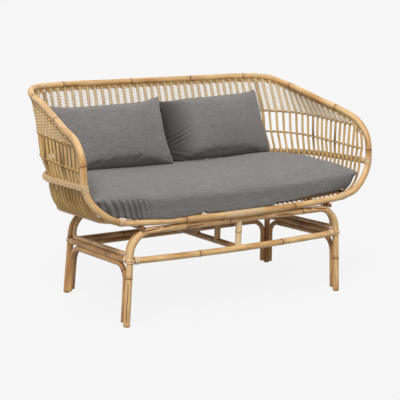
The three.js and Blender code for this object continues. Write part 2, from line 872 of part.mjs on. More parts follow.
function canePoints(lengths, side) {
  const [rimLength, ...levelLengths] = lengths.map((length) => side * length);
  const passing = caneLevels.map((level, i) => levelPoint(level, levelLengths[i]));
  const hoopPoint = passing[2];
  const ringPoint = passing[3];
  const belly = point(hoopPoint.x, hoopPoint.y, hoopPoint.z - caneBellyDepth);
  const bend = new THREE.QuadraticBezierCurve3(hoopPoint, belly, ringPoint);
  const top = rimPointAtLength(rimLength);
  const along = rimPointAtLength(rimLength + side * caneRadius).sub(top);
  const lean = along.angleTo(passing[0].clone().sub(top));
  const reach = (rimRadius + 2 * clearance + caneRadius * Math.abs(Math.cos(lean))) / Math.sin(lean);
  return trimmed(
    [top, passing[0], passing[1], ...bend.getPoints(2)],
    reach,
    ringRadius + clearance + caneRadius / 3,
  );
}

// The same line without the points that lie on a straight run
function thinned(points) {
  const bends = (p, i) => {
    const arriving = p.clone().sub(points[i - 1]).normalize();
    const leaving = points[i + 1].clone().sub(p).normalize();
    return arriving.angleTo(leaving) > straightAngle;
  };
  return points.filter((p, i) => i === 0 || i === points.length - 1 || bends(p, i));
}

// The twined rows lie on the inside of the canes and touch each one
const rowDraw = caneRadius + radiusOf(rowDiameter) - bindOverlap;
const rowLevels = [levels.band, levels.row].map((level) => drawnIn(level, rowDraw));

function panel(lengthsOf, shares, rows, extra) {
  const uprights = shares.map((share) => {
    const side = Math.sign(share);
    const lengths = lengthsOf(Math.abs(share));
    const facing = outwardAt(levels.row, side * lengths[2]);
    return pole(canePoints(lengths, side), caneRadius + extra, caneSides, facing);
  });
  const bands = rows.map((points) => pole(points, radiusOf(rowDiameter) + extra, caneSides));
  return joined([...uprights, ...bands]);
}

for (const { word, side } of sides) {
  const shares = Array.from({ length: armCaneCount }, (_, i) => (side * (i + 1)) / armCaneCount);
  const rows = rowLevels.map((level) => {
    const start = lengthAtSpread(level, level.post);
    const end = lengthAtDepth(level, rowFront);
    const lengths = [0, ...shares].map((share) => mix(start, end, Math.abs(share)));
    const points = [...lengths, end + rowDiameter].map((length) => levelPoint(level, side * length));
    return thinned(points);
  });
  place(`${word}_cane_panel`, "cane", (extra) => panel(armLengths, shares, rows, extra));
}

const backShares = Array.from(
  { length: backCaneCount },
  (_, i) => (2 * (i + 1)) / (backCaneCount + 1) - 1,
);
const backRows = rowLevels.map((level) => {
  const reach = lengthAtSpread(level, level.post);
  return thinned([-1, ...backShares, 1].map((share) => levelPoint(level, share * reach)));
});
place("back_cane_panel", "cane", (extra) => panel(backLengths, backShares, backRows, extra));

// Deck: canes from the seat rail to the ring, on two cross canes
function railUnder(x) {
  const station = rimStation("x", Math.abs(x), widestStation + 2, frontCentreStation);
  return rimAt(station);
}

// A point on the deck canes' axes at a spread, as a share of the way from the seat rail to the ring
function deckPoint(x, share) {
  const rail = railUnder(x);
  const ring = levelPoint(levels.ring, Math.sign(x || 1) * lengthAtSpread(levels.ring, Math.abs(x)));
  const front = rail.z + rimRadius + 3 * clearance + caneRadius;
  const back = ring.z + ringRadius + 3 * clearance + caneRadius;
  return point(x, mix(rail.y, ring.y, share), mix(front, back, share));
}

function deckHeight(x, y) {
  const front = deckPoint(x, 0);
  const back = deckPoint(x, 1);
  return mix(front.z, back.z, (y - front.y) / (back.y - front.y));
}

const deckCaneCount = 2 * Math.floor(deckHalfWidth / deckCanePitch);
const deckSpreads = Array.from(
  { length: deckCaneCount },
  (_, i) => (i - (deckCaneCount - 1) / 2) * deckCanePitch,
);
const crossDrop = caneRadius + crossCaneRadius - bindOverlap;

function crossPoints(setback) {
  const y = rimFront + setback;
  const steps = 2 * bendSteps;
  return Array.from({ length: steps + 1 }, (_, i) => {
    const x = mix(-deckHalfWidth, deckHalfWidth, i / steps);
    return point(x, y, deckHeight(x, y) - crossDrop);
  });
}

place("seat_deck", "cane", (extra) =>
  joined([
    ...deckSpreads.map((x) =>
      pole([deckPoint(x, 0), deckPoint(x, 1)], caneRadius + extra, caneSides),
    ),
    ...crossCaneSetbacks.map((setback) => pole(crossPoints(setback), crossCaneRadius + extra, caneSides)),
  ]),
);

// A closed form from stacked rings of the same number of points, capped by a point at each end
function loft(bottom, rings, top) {
  const count = rings[0].length;
  const vertices = [bottom, ...rings.flat(), top];
  const index = [];
  for (let k = 0; k < count; k++) {
    const next = (k + 1) % count;
    index.push(0, 1 + next, 1 + k);
    for (let r = 0; r < rings.length - 1; r++) {
      const low = 1 + r * count;
      const high = low + count;
      index.push(low + k, low + next, high + next, low + k, high + next, high + k);
    }
    const last = 1 + (rings.length - 1) * count;
    index.push(last + k, last + next, vertices.length - 1);
  }
  const geometry = new THREE.BufferGeometry().setFromPoints(vertices);
  geometry.setIndex(index);
  return solidOf(geometry);
}

// Seat cushion: it fills the shell at the mid hoop, its front edge bows out over the seat rail,
// its sides draw in to the deck and its top is crowned
const cushionLevel = drawnIn(innerHoop, caneRadius + cushionSideGap);
const cushionHalfWidth = cushionLevel.halfWidth;
const cushionBack = cushionLevel.back;
const cushionFront = rimFront - cushionFrontOverhang;
const cushionEnd = cushionFront + cushionFrontBow;

// The cushion's outline in plan for an inset at the sides and back and another at the front
function cushionOutline(sideInset, frontInset) {
  const level = drawnIn(cushionLevel, sideInset);
  const outline = [];
  for (let i = 0; i <= cushionBayCount; i++) {
    const across = (2 * i) / cushionBayCount - 1;
    const bow = cushionFrontBow * (1 - Math.abs(across) ** 3);
    const x = across * (level.halfWidth - cushionTipDraw);
    outline.push(point(x, cushionEnd + frontInset - bow, 0));
  }
  const straight = level.halfWidth - level.corner;
  const sideLength = lengthAtDepth(level, cushionEnd + frontInset + cushionTipDraw);
  const right = [sideLength];
  for (let i = bendSteps; i >= 0; i--) right.push(mix(straight, sideStart(level), i / bendSteps));
  const backLengths = Array.from({ length: cushionBayCount / 2 - 1 }, (_, i) =>
    mix(straight, -straight, (2 * (i + 1)) / cushionBayCount),
  );
  for (const length of [...right, ...backLengths, ...right.map((value) => -value).reverse()]) {
    outline.push(levelPoint(level, length));
  }
  return outline;
}

function cushionRing(sideInset, frontInset, heightAt) {
  return cushionOutline(sideInset, frontInset).map((p) => point(p.x, p.y, heightAt(p)));
}

const cushionTop = (p) => {
  const across = Math.abs(p.x) / cushionHalfWidth;
  return seatRailHeight + rimRadius + cushionHeight + cushionEdgeRise * across * across;
};
const onDeck = (p) =>
  deckHeight(Math.min(Math.abs(p.x), deckHalfWidth), p.y) + caneRadius + 2 * clearance;
const crowned = (share) => (p) => cushionTop(p) + cushionCrown * share;

const bottomCentre = point(0, (cushionFront + cushionBack) / 2, 0);
bottomCentre.z = onDeck(bottomCentre);
const topCentre = point(0, bottomCentre.y, 0);
topCentre.z = crowned(1)(topCentre);

const cushionSolid = place("seat_cushion", "cloth", () =>
  loft(
    bottomCentre,
    [
      ...cushionSideRings.map(({ sideInset, frontInset, riseShare }) =>
        cushionRing(sideInset, frontInset, (p) => mix(onDeck(p), cushionTop(p), riseShare)),
      ),
      ...cushionTopRings.map(({ inset, crownShare }) => cushionRing(inset, inset, crowned(crownShare))),
    ],
    topCentre,
  ),
);

// Pillows: knife-edged, with drawn-in sides between pointed corners, leaning back
const pillowFoot = point(-pillowMeetingOffset, rimFront + pillowFootSetback, 0);
pillowFoot.z = crowned(1)(pillowFoot) - pillowSink;
const upAxis = point(0, 0, 1);
const pillows = [
  { side: -1, width: leftPillowWidth, turn: leftPillowTurn },
  { side: 1, width: rightPillowWidth, turn: rightPillowTurn },
];

function pillowPoint(pillow, u, v, face) {
  const inner = (pillow.side * pillowGap) / 2;
  const across = inner + (pillow.width / 2) * (pillow.side + u * (1 - pillowDrawShare * (1 - v * v)));
  const along = (pillowHeight / 2) * v * (1 - pillowDrawShare * (1 - u * u));
  const swell = Math.pow(Math.max(0, (1 - u * u) * (1 - v * v)), pillowSwellPower);
  const out = (face * pillowThickness * swell) / 2;
  const upward = along + pillowHeight / 2;
  const place = point(
    across,
    upward * Math.sin(pillowLean) - out * Math.cos(pillowLean),
    upward * Math.cos(pillowLean) + out * Math.sin(pillowLean),
  );
  return place.applyAxisAngle(upAxis, pillow.turn).add(pillowFoot);
}

function pillowSolid(pillow) {
  const steps = Array.from({ length: pillowSideSteps }, (_, i) => (2 * i) / pillowSideSteps - 1);
  const square = [
    ...steps.map((step) => [step, -1]),
    ...steps.map((step) => [1, step]),
    ...steps.map((step) => [-step, 1]),
    ...steps.map((step) => [-1, -step]),
  ];
  const layer = (share, face) =>
    square.map(([u, v]) => pillowPoint(pillow, share * u, share * v, face));
  const behind = pillowRingShares.map((share) => layer(share, -1));
  const before = pillowRingShares.toReversed().map((share) => layer(share, 1));
  const rings = [...behind, layer(1, 0), ...before];
  return loft(pillowPoint(pillow, 0, 0, -1), rings, pillowPoint(pillow, 0, 0, 1));
}

const cushionLifted = cushionSolid.translate([0, 0, clearance]);
for (const { word, side } of sides) {
  const pillow = pillows.find((one) => one.side === side);
  place(`${word}_pillow`, "cloth", () => pillowSolid(pillow).subtract(cushionLifted));
}

// Centre the sofa's outline on the origin in depth
const outline = new THREE.Box3().setFromObject(sofa);
sofa.position.y = -(outline.min.y + outline.max.y) / 2;

export default sofa;
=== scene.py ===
"""The looks of a rattan garden sofa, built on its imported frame."""

import math

import bpy
import numpy as np
from mathutils import Matrix, Vector
from mathutils.bvhtree import BVHTree


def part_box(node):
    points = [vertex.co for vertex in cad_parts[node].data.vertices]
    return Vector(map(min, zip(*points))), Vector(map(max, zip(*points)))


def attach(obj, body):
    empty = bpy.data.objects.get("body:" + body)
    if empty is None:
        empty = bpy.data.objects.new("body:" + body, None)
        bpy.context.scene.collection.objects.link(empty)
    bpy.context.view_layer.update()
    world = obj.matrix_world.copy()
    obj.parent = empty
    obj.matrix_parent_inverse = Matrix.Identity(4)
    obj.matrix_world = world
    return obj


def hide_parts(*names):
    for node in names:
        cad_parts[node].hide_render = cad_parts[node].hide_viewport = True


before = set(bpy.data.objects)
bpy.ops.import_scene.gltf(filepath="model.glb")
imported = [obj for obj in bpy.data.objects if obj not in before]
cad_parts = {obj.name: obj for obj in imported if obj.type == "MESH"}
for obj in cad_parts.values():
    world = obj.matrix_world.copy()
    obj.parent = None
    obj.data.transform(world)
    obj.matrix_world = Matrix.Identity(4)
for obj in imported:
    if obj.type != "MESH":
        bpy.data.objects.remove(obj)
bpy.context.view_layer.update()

# Sizes in millimetres, in the base's own frame, as in the part's source
RIM_RADIUS = 13.5
LEG_RADIUS = 13.5
STRETCHER_RADIUS = 13
CENTRE_STRETCHER_RADIUS = 12.5
POST_RADIUS = 13
BEARER_RADIUS = 9
UPPER_BRACE_RADIUS = 8.5
LOWER_BRACE_RADIUS = 11
HOOP_RADIUS = 11
RING_RADIUS = 11
CORNER_POST_RADIUS = 7
CANE_RADIUS = 4.5
CROSS_CANE_RADIUS = 5
CLEARANCE = 0.3

FOOT_HALF_WIDTH = 519
FOOT_HALF_DEPTH = 253
SHOULDER_HALF_WIDTH = 499.5
RAIL_HALF_DEPTH = 241
HOOP_BEND = 95
SCARF_HALF_SPACING = 300
SCARF_LENGTH = 250
STRETCHER_BOW = 14
STRETCHER_SAG = 5
BRACE_BEND = 62
BRACE_FOOT = 12
UPPER_BRACE_BEND = 20
SIDE_BEARER_SPREAD = 455
POST_PITCH = 150

RIM_HALF_WIDTH = 689
RIM_FRONT = -252
RIM_BACK = 448
BACK_RISE = 447
CORNER_POST_SPREAD = 541
SEAT_JOINT_SPREAD = 544
RING_FRONT_SPREAD = 566
RIM_SHARES = (
    (0.374, 1, 1),
    (0.697, 1, 0.998),
    (0.862, 0.963, 0.984),
    (0.916, 0.871, 0.953),
    (0.93, 0.706, 0.911),
    (0.956, 0.513, 0.843),
    (0.984, 0.327, 0.779),
    (0.993, 0.164, 0.705),
    (1, 0.076, 0.568),
    (0.997, 0.049, 0.333),
    (0.964, 0.036, 0.213),
    (0.872, 0.014, 0.085),
    (0.79, 0.024, 0.034),
    (0.614, 0.013, 0.013),
    (0.244, 0, 0),
)
HOOP_FALL = 0.07
HOOP_FRONT_RISE = 149
ARM_CANES = 19
BACK_CANES = 30
FRONT_CANE_SETBACK = 92
FRONT_ROW_SETBACK = 62
CANE_BELLY = 104
DECK_PITCH = 25
DECK_HALF_WIDTH = 525
CROSS_CANE_SETBACKS = (152, 382)
CENTRE_WRAP_OFFSET = 15


def at(x, y, z):
    return np.array((x, y, z), float)


def mix(a, b, share):
    return a + (b - a) * share


def unit(v):
    return v / np.linalg.norm(v)


def mirrored(points):
    return np.asarray(points, float) * (-1, 1, 1)


def on_side(side, points):
    return mirrored(points) if side < 0 else np.asarray(points, float)


ARC_STEPS = 12


def rounded(corners, radius):
    """Straight runs between corners, with an arc at each inner corner"""
    points = [corners[0]]
    for before, corner, after in zip(corners, corners[1:], corners[2:]):
        back, ahead = unit(before - corner), unit(after - corner)
        half = math.acos(float(np.clip(back @ ahead, -1, 1))) / 2
        centre = corner + unit(back + ahead) * radius / math.sin(half)
        reach = radius / math.tan(half)
        start, end = corner + back * reach - centre, corner + ahead * reach - centre
        sweep = math.pi - 2 * half
        for k in range(ARC_STEPS + 1):
            angle = sweep * k / ARC_STEPS
            blend = start * math.sin(sweep - angle) + end * math.sin(angle)
            points.append(centre + blend / math.sin(sweep))
    points.append(corners[-1])
    return np.array(points)


class Hoop:
    def __init__(self, end, rail_height, stretcher_height):
        self.end, self.rail_height, self.stretcher_height = end, rail_height, stretcher_height

    def leg(self, height, side=1):
        share = height / self.rail_height
        x = mix(FOOT_HALF_WIDTH, SHOULDER_HALF_WIDTH, share)
        return at(side * x, self.end * mix(FOOT_HALF_DEPTH, RAIL_HALF_DEPTH, share), height)

    def joint(self, side):
        return self.leg(self.stretcher_height, side)

    def leg_line(self, side):
        end = at(SCARF_HALF_SPACING - SCARF_LENGTH / 2, self.end * RAIL_HALF_DEPTH, self.rail_height)
        corners = [self.leg(0), self.leg(self.rail_height), end]
        return on_side(side, rounded(corners, HOOP_BEND))

    def rail_line(self):
        reach = SCARF_HALF_SPACING + SCARF_LENGTH / 2
        ends = [at(side * reach, self.end * RAIL_HALF_DEPTH, self.rail_height) for side in (-1, 1)]
        return np.array(ends)

    def bend(self, angle, standoff):
        centre = self.leg(self.rail_height - HOOP_BEND)[0] - HOOP_BEND
        return at(
            centre + HOOP_BEND * math.cos(angle),
            self.end * (RAIL_HALF_DEPTH - standoff),
            self.rail_height - HOOP_BEND * (1 - math.sin(angle)),
        )


FRONT = Hoop(-1, 369.5, 258)
BACK = Hoop(1, 348.5, 225)
HOOPS = {"front": FRONT, "back": BACK}
SIDES = {"left": -1, "right": 1}

STRETCHER_FRONT_CENTRE = at(0, FRONT.joint(1)[1] - STRETCHER_BOW, FRONT.stretcher_height - STRETCHER_SAG)
STRETCHER_BACK_CENTRE = at(0, BACK.joint(1)[1], BACK.stretcher_height)


def front_stretcher_line():
    start, end = FRONT.joint(-1), FRONT.joint(1)
    control = 2 * STRETCHER_FRONT_CENTRE - (start + end) / 2
    t = np.linspace(0, 1, 21)[:, None]
    return (1 - t) ** 2 * start + 2 * t * (1 - t) * control + t**2 * end


BRACE_DROP = STRETCHER_RADIUS * math.cos(math.pi / 8) + LOWER_BRACE_RADIUS * math.cos(math.pi / 6) + CLEARANCE
BRACE_STANDOFF = LEG_RADIUS + LOWER_BRACE_RADIUS + CLEARANCE
UPPER_STANDOFF = LEG_RADIUS + UPPER_BRACE_RADIUS + CLEARANCE


def side_brace_line(side):
    def beside(hoop, height):
        return hoop.leg(height) - at(0, hoop.end * BRACE_STANDOFF, 0)

    corners = [
        beside(FRONT, BRACE_FOOT),
        beside(FRONT, FRONT.stretcher_height - BRACE_DROP),
        beside(BACK, BACK.stretcher_height - BRACE_DROP),
        beside(BACK, BRACE_FOOT),
    ]
    return on_side(side, rounded(corners, BRACE_BEND))


def back_brace_line():
    top = BACK.stretcher_height - BRACE_DROP
    heights = [(-1, BRACE_FOOT), (-1, top), (1, top), (1, BRACE_FOOT)]
    corners = [BACK.leg(height, side) - at(side * BRACE_STANDOFF, 0, 0) for side, height in heights]
    return rounded(corners, BRACE_BEND)


def upper_brace_line(side):
    def run(hoop):
        height = hoop.stretcher_height + STRETCHER_RADIUS + UPPER_BRACE_RADIUS + CLEARANCE
        return at(hoop.leg(height)[0], hoop.bend(0, UPPER_STANDOFF)[1], height)

    def rising(hoop):
        angles = np.radians((22.5, 35, 47, 60))
        return [hoop.bend(angle, UPPER_STANDOFF) for angle in angles]

    front, back = rising(FRONT), rising(BACK)
    middle = rounded([front[0], run(FRONT), run(BACK), back[0]], UPPER_BRACE_BEND)
    return on_side(side, [*front[:0:-1], *middle, *back[1:]])


def over_rails(y, lift):
    share = (y + RAIL_HALF_DEPTH) / (2 * RAIL_HALF_DEPTH)
    return mix(FRONT.rail_height, BACK.rail_height, share) + lift


BEARER_LIFT = LEG_RADIUS + CLEARANCE + BEARER_RADIUS
DECK_SINK = 0.8
DECK_LIFT = BEARER_LIFT + BEARER_RADIUS + CLEARANCE + 2 * CROSS_CANE_RADIUS + CANE_RADIUS - DECK_SINK
SEAT_RAIL = over_rails(RIM_FRONT, DECK_LIFT) - CANE_RADIUS - CLEARANCE - RIM_RADIUS
RING_INSET = 148
RING_BACK = RIM_BACK - RING_INSET
RING_HEIGHT = over_rails(RING_BACK, DECK_LIFT) - CANE_RADIUS - CLEARANCE - RING_RADIUS

RIM_HALF = np.array(
    [
        (across * RIM_HALF_WIDTH, mix(RIM_FRONT, RIM_BACK, back), SEAT_RAIL + up * BACK_RISE)
        for across, back, up in RIM_SHARES
    ]
)
RIM_LOOP = np.vstack([RIM_HALF, mirrored(RIM_HALF)[::-1]])
STATIONS = len(RIM_LOOP)


def rim_at(station):
    """A point on the closed centripetal curve through the rim's stations"""
    whole = math.floor(station)
    weight = station - whole
    p0, p1, p2, p3 = (RIM_LOOP[(whole + k) % STATIONS] for k in (-1, 0, 1, 2))
    d0, d1, d2 = (float(np.linalg.norm(b - a)) ** 0.5 for a, b in ((p0, p1), (p1, p2), (p2, p3)))
    t1 = ((p1 - p0) / d0 - (p2 - p0) / (d0 + d1) + (p2 - p1) / d1) * d1
    t2 = ((p2 - p1) / d1 - (p3 - p1) / (d1 + d2) + (p3 - p2) / d2) * d1
    c2 = -3 * p1 + 3 * p2 - 2 * t1 - t2
    c3 = 2 * p1 - 2 * p2 + t1 + t2
    return p1 + t1 * weight + c2 * weight**2 + c3 * weight**3


def rim_station(axis, value, low, high):
    """The station where a coordinate passes a value"""
    rising = rim_at(high)[axis] > rim_at(low)[axis]
    for _ in range(40):
        middle = (low + high) / 2
        if (rim_at(middle)[axis] < value) == rising:
            low = middle
        else:
            high = middle
    return (low + high) / 2


HALF = len(RIM_HALF)
WIDEST = 8
FRONT_CENTRE = HALF - 0.5
TOP_CORNER = rim_station(0, CORNER_POST_SPREAD, 0, 4)
BOTTOM_CORNER = rim_station(0, SEAT_JOINT_SPREAD, WIDEST + 2, FRONT_CENTRE)
HOOP_END = rim_station(2, SEAT_RAIL + HOOP_FRONT_RISE, WIDEST - 2, BOTTOM_CORNER)
RING_FRONT = rim_station(0, RING_FRONT_SPREAD, WIDEST + 2, FRONT_CENTRE)
SEAT_JOINT = rim_station(0, CENTRE_WRAP_OFFSET, FRONT_CENTRE - 1, FRONT_CENTRE + 1)


def left_station(station):
    return STATIONS - 1 - station


def rim_line(start, end, per_station=14):
    steps = max(2, round((end - start) * per_station))
    return np.array([rim_at(mix(start, end, i / steps)) for i in range(steps + 1)])


class Level:
    """A U in plan round the shell, measured by its length from the middle of the back"""

    def __init__(self, half_width, back, corner, post, height):
        self.half_width, self.back, self.corner = half_width, back, corner
        self.post, self.height = post, height
        self.straight = half_width - corner
        self.side_start = self.straight + corner * math.pi / 2

    def drawn_in(self, inset):
        return Level(self.half_width - inset, self.back - inset, self.corner - inset, self.post, self.height)

    def length_at_depth(self, y):
        return self.side_start + self.back - self.corner - y

    def length_at_spread(self, x):
        if x <= self.straight:
            return x
        return self.straight + self.corner * math.asin((x - self.straight) / self.corner)

    def point(self, length):
        distance = abs(length)
        x, y = distance, self.back
        if distance > self.side_start:
            x, y = self.half_width, self.back - self.corner - (distance - self.side_start)
        elif distance > self.straight:
            angle = (distance - self.straight) / self.corner
            x = self.straight + self.corner * math.sin(angle)
            y = self.back - self.corner * (1 - math.cos(angle))
        return at(math.copysign(x, length), y, self.height(y))

    def outward(self, length):
        distance = min(max(abs(length), self.straight), self.side_start)
        angle = (distance - self.straight) / self.corner
        return at(math.copysign(math.sin(angle), length), math.cos(angle), 0)


def shell_level(side_inset, back_inset, corner, post_inset, height):
    post = CORNER_POST_SPREAD - post_inset
    return Level(RIM_HALF_WIDTH - side_inset, RIM_BACK - back_inset, corner, post, height)


BAND_RISE = 295
ROW_RISE = 202
HOOP_RISE = 137
BINDING_ROOM = 1.6
BAND = shell_level(11.5, 53, 255, 0, lambda y: SEAT_RAIL + BAND_RISE)
ROW = shell_level(17, 75, 248, 0, lambda y: SEAT_RAIL + ROW_RISE)
MID_HOOP = shell_level(9, 108, 275, 8, lambda y: SEAT_RAIL + HOOP_RISE - HOOP_FALL * y)
RING = shell_level(99, RING_INSET, 150, 16, lambda y: RING_HEIGHT - HOOP_FALL * (y - RING_BACK))
INNER_HOOP = MID_HOOP.drawn_in(HOOP_RADIUS + BINDING_ROOM + CANE_RADIUS)
POST_HOOP = MID_HOOP.drawn_in(HOOP_RADIUS + BINDING_ROOM + CORNER_POST_RADIUS)


def level_line(level, front_depth, end):
    """A level from one front end over the back to the other"""
    reach = level.length_at_depth(front_depth)
    half = [level.point(length) for length in np.linspace(0.01, reach, 60)]
    right = np.array([*half, end])
    return np.vstack([mirrored(right)[::-1], right])


def hoop_line():
    end = rim_at(HOOP_END)
    return level_line(MID_HOOP, end[1] + 2 * RIM_RADIUS, end)


def ring_line():
    end = rim_at(RING_FRONT)
    return level_line(RING, end[1] + 6 * RIM_RADIUS, end)


def bearer_line(x):
    def seat_on(hoop):
        centre = hoop.leg(hoop.rail_height - HOOP_BEND)[0] - HOOP_BEND
        past = max(0, abs(x) - centre)
        reach = HOOP_BEND + BEARER_LIFT
        height = hoop.rail_height - HOOP_BEND + math.sqrt(reach * reach - past * past)
        return at(x, hoop.end * RAIL_HALF_DEPTH, height)

    front, back = seat_on(FRONT), seat_on(BACK)
    run = unit(back - front) * 2 * BEARER_RADIUS
    return np.array([front - run, back + run])


def post_line(index):
    y = -RAIL_HALF_DEPTH + index * POST_PITCH
    share = (y - STRETCHER_FRONT_CENTRE[1]) / (STRETCHER_BACK_CENTRE[1] - STRETCHER_FRONT_CENTRE[1])
    foot = mix(STRETCHER_FRONT_CENTRE[2], STRETCHER_BACK_CENTRE[2], share)
    return np.array([at(0, y, foot), at(0, y, over_rails(y, 0 if index == 0 else BEARER_LIFT))])


def corner_post_line(side):
    levels = (BAND, ROW, POST_HOOP, RING)
    below = [level.point(level.length_at_spread(level.post)) for level in levels]
    return on_side(side, [rim_at(TOP_CORNER), *below])


RIM_SAMPLES = 40
RIM_TRACK = np.array([rim_at(-0.5 + i / RIM_SAMPLES) for i in range(RIM_SAMPLES * HALF + 1)])
RIM_LENGTHS = np.concatenate([[0], np.cumsum(np.linalg.norm(np.diff(RIM_TRACK, axis=0), axis=1))])


def rim_length(station):
    return RIM_LENGTHS[round((station + 0.5) * RIM_SAMPLES)]


def rim_point(length):
    found = at(*(np.interp(abs(length), RIM_LENGTHS, RIM_TRACK[:, k]) for k in range(3)))
    return found * (-1, 1, 1) if length < 0 else found


TOP_FRONT = rim_station(1, RIM_FRONT + FRONT_CANE_SETBACK, 4, WIDEST + 1)
ROW_DEPTH = RIM_FRONT + FRONT_ROW_SETBACK
CANE_LEVELS = (BAND, ROW, INNER_HOOP, RING)


def arm_lengths(share):
    rim = mix(rim_length(TOP_CORNER), rim_length(TOP_FRONT), share)
    ends = [(level.length_at_spread(level.post), level.length_at_depth(ROW_DEPTH)) for level in CANE_LEVELS]
    return [rim] + [mix(near, far, share) for near, far in ends]


def back_lengths(share):
    reaches = [rim_length(TOP_CORNER)] + [level.length_at_spread(level.post) for level in CANE_LEVELS]
    return [share * reach for reach in reaches]


def cane_line(lengths, side):
    """A cane from the rim past the levels to the ring: top, band, row, hoop, belly, ring"""
    rim, *rest = (side * length for length in lengths)
    top = rim_point(rim)
    band, row, hoop, ring = (level.point(length) for level, length in zip(CANE_LEVELS, rest))
    belly = hoop - at(0, 0, CANE_BELLY)
    t = np.linspace(0, 1, 7)[1:, None]
    bend = (1 - t) ** 2 * hoop + 2 * t * (1 - t) * belly + t**2 * ring
    return np.vstack([top, band, row, hoop, bend])


ARM_SHARES = [(i + 1) / ARM_CANES for i in range(ARM_CANES)]
BACK_SHARES = [2 * (i + 1) / (BACK_CANES + 1) - 1 for i in range(BACK_CANES)]


def rail_under(x):
    return rim_at(rim_station(0, abs(x), WIDEST + 2, FRONT_CENTRE))


def deck_line(x):
    rail = rail_under(x)
    ring = RING.point(math.copysign(RING.length_at_spread(abs(x)), x))
    front = rail[2] + RIM_RADIUS + 3 * CLEARANCE + CANE_RADIUS
    back = ring[2] + RING_RADIUS + 3 * CLEARANCE + CANE_RADIUS
    return np.array([at(x, rail[1], front), at(x, ring[1], back)])


def deck_height(x, y):
    front, back = deck_line(x)
    return mix(front[2], back[2], (y - front[1]) / (back[1] - front[1]))


# Growth rings seen in the photograph, in millimetres along each line from its start
KNOTS = {
    "rim_back_rail": [96, 422, 728, 1016],
    "rim_right_arm": [202, 498, 788],
    "rim_left_arm": [296, 606, 874],
    "front_rail_right": [276],
    "front_rail_left": [276],
    "front_top_rail": [172, 372, 744],
    "front_right_leg": [146, 516],
    "front_left_leg": [192],
    "front_stretcher": [308, 712],
    "left_stretcher": [166],
    "left_upper_brace": [358],
    "left_lower_brace": [204],
    "left_corner_post": [],
    "right_corner_post": [],
    "post_1": [66],
    "post_2": [],
    "post_3": [],
    "post_4": [],
}
# How much darker a whole piece is than its wood, or paler below 0. For the back top rail and the bearers it
# is painted shade, as they stand in shadow under the seat
TONES_AND_SHADE = {
    "back_top_rail": 0.45,
    "back_stretcher": 0.1,
    "centre_stretcher": 0.05,
    "left_bearer": 0.7,
    "right_bearer": 0.7,
    "post_1": -0.35,
    "post_2": 0.1,
    "post_3": 0.1,
    "post_4": 0.1,
}
LEG_CRACK_ANGLE = 0.86
LEG_CRACK_RUN = (14, 178)
LEG_CRACK_WIDTH = 0.13
LEG_CRACK_FADE = 12
LEG_CRACK_SHADE = 1.4
SPLIT_SHADE = 1.2
JOINT_TONE = 0.9
FOOT_TONE = 0.55
FOOT_STAIN_LENGTH = 9

# Moves the grain along from strand to strand, in millimetres, and from piece to piece, in metres
STRAND_GRAIN_STEP = 977
GRAIN_STEP = 13.7
SHARP_ANGLE = math.radians(60)

# The base frame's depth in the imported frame: the hoops stand evenly before and behind its origin
DEPTH_SHIFT = 500 * (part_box("front_left_leg")[0].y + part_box("back_left_leg")[1].y)


def to_frame(points):
    """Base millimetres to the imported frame's metres"""
    return (np.asarray(points, float) + (0, DEPTH_SHIFT, 0)) / 1000


def lengths_of(line):
    return np.concatenate([[0], np.cumsum(np.linalg.norm(np.diff(line, axis=0), axis=1))])


def spot(line, lengths, where):
    return np.stack([np.interp(where, lengths, line[:, k]) for k in range(3)], -1)


def with_stops(line, stops):
    """The line with further points at these lengths along it"""
    line = np.asarray(line, float)
    lengths = lengths_of(line)
    inside = [s for s in stops if 0 < s < lengths[-1]]
    every = np.unique(np.round(np.concatenate([lengths, inside]), 3))
    return spot(line, lengths, every)


def evenly(line, step):
    line = np.asarray(line, float)
    lengths = lengths_of(line)
    count = max(2, round(lengths[-1] / step))
    return spot(line, lengths, np.linspace(0, lengths[-1], count + 1))


def eased(points, per):
    """A smooth curve through points"""
    p = np.asarray(points, float)
    p = np.vstack([2 * p[0] - p[1], p, 2 * p[-1] - p[-2]])
    out = []
    for i in range(1, len(p) - 2):
        for t in np.arange(per) / per:
            a, b, c, d = p[i - 1 : i + 3]
            second, third = 2 * a - 5 * b + 4 * c - d, 3 * b - a - 3 * c + d
            out.append(0.5 * (2 * b + (c - a) * t + second * t**2 + third * t**3))
    out.append(p[-2])
    return np.array(out)


def object_of(name, points, faces):
    mesh = bpy.data.meshes.new(name)
    mesh.from_pydata(np.asarray(points, float).tolist(), [], faces)
    mesh.validate()
    mesh.polygons.foreach_set("use_smooth", np.ones(len(mesh.polygons), bool))
    made = bpy.data.objects.new(name, mesh)
    bpy.context.scene.collection.objects.link(made)
    return made


def give(obj, name, kind, field, values):
    """Stores values at an object's points, for its material"""
    held = obj.data.attributes.new(name, kind, "POINT")
    held.data.foreach_set(field, np.asarray(values, np.float32).ravel())


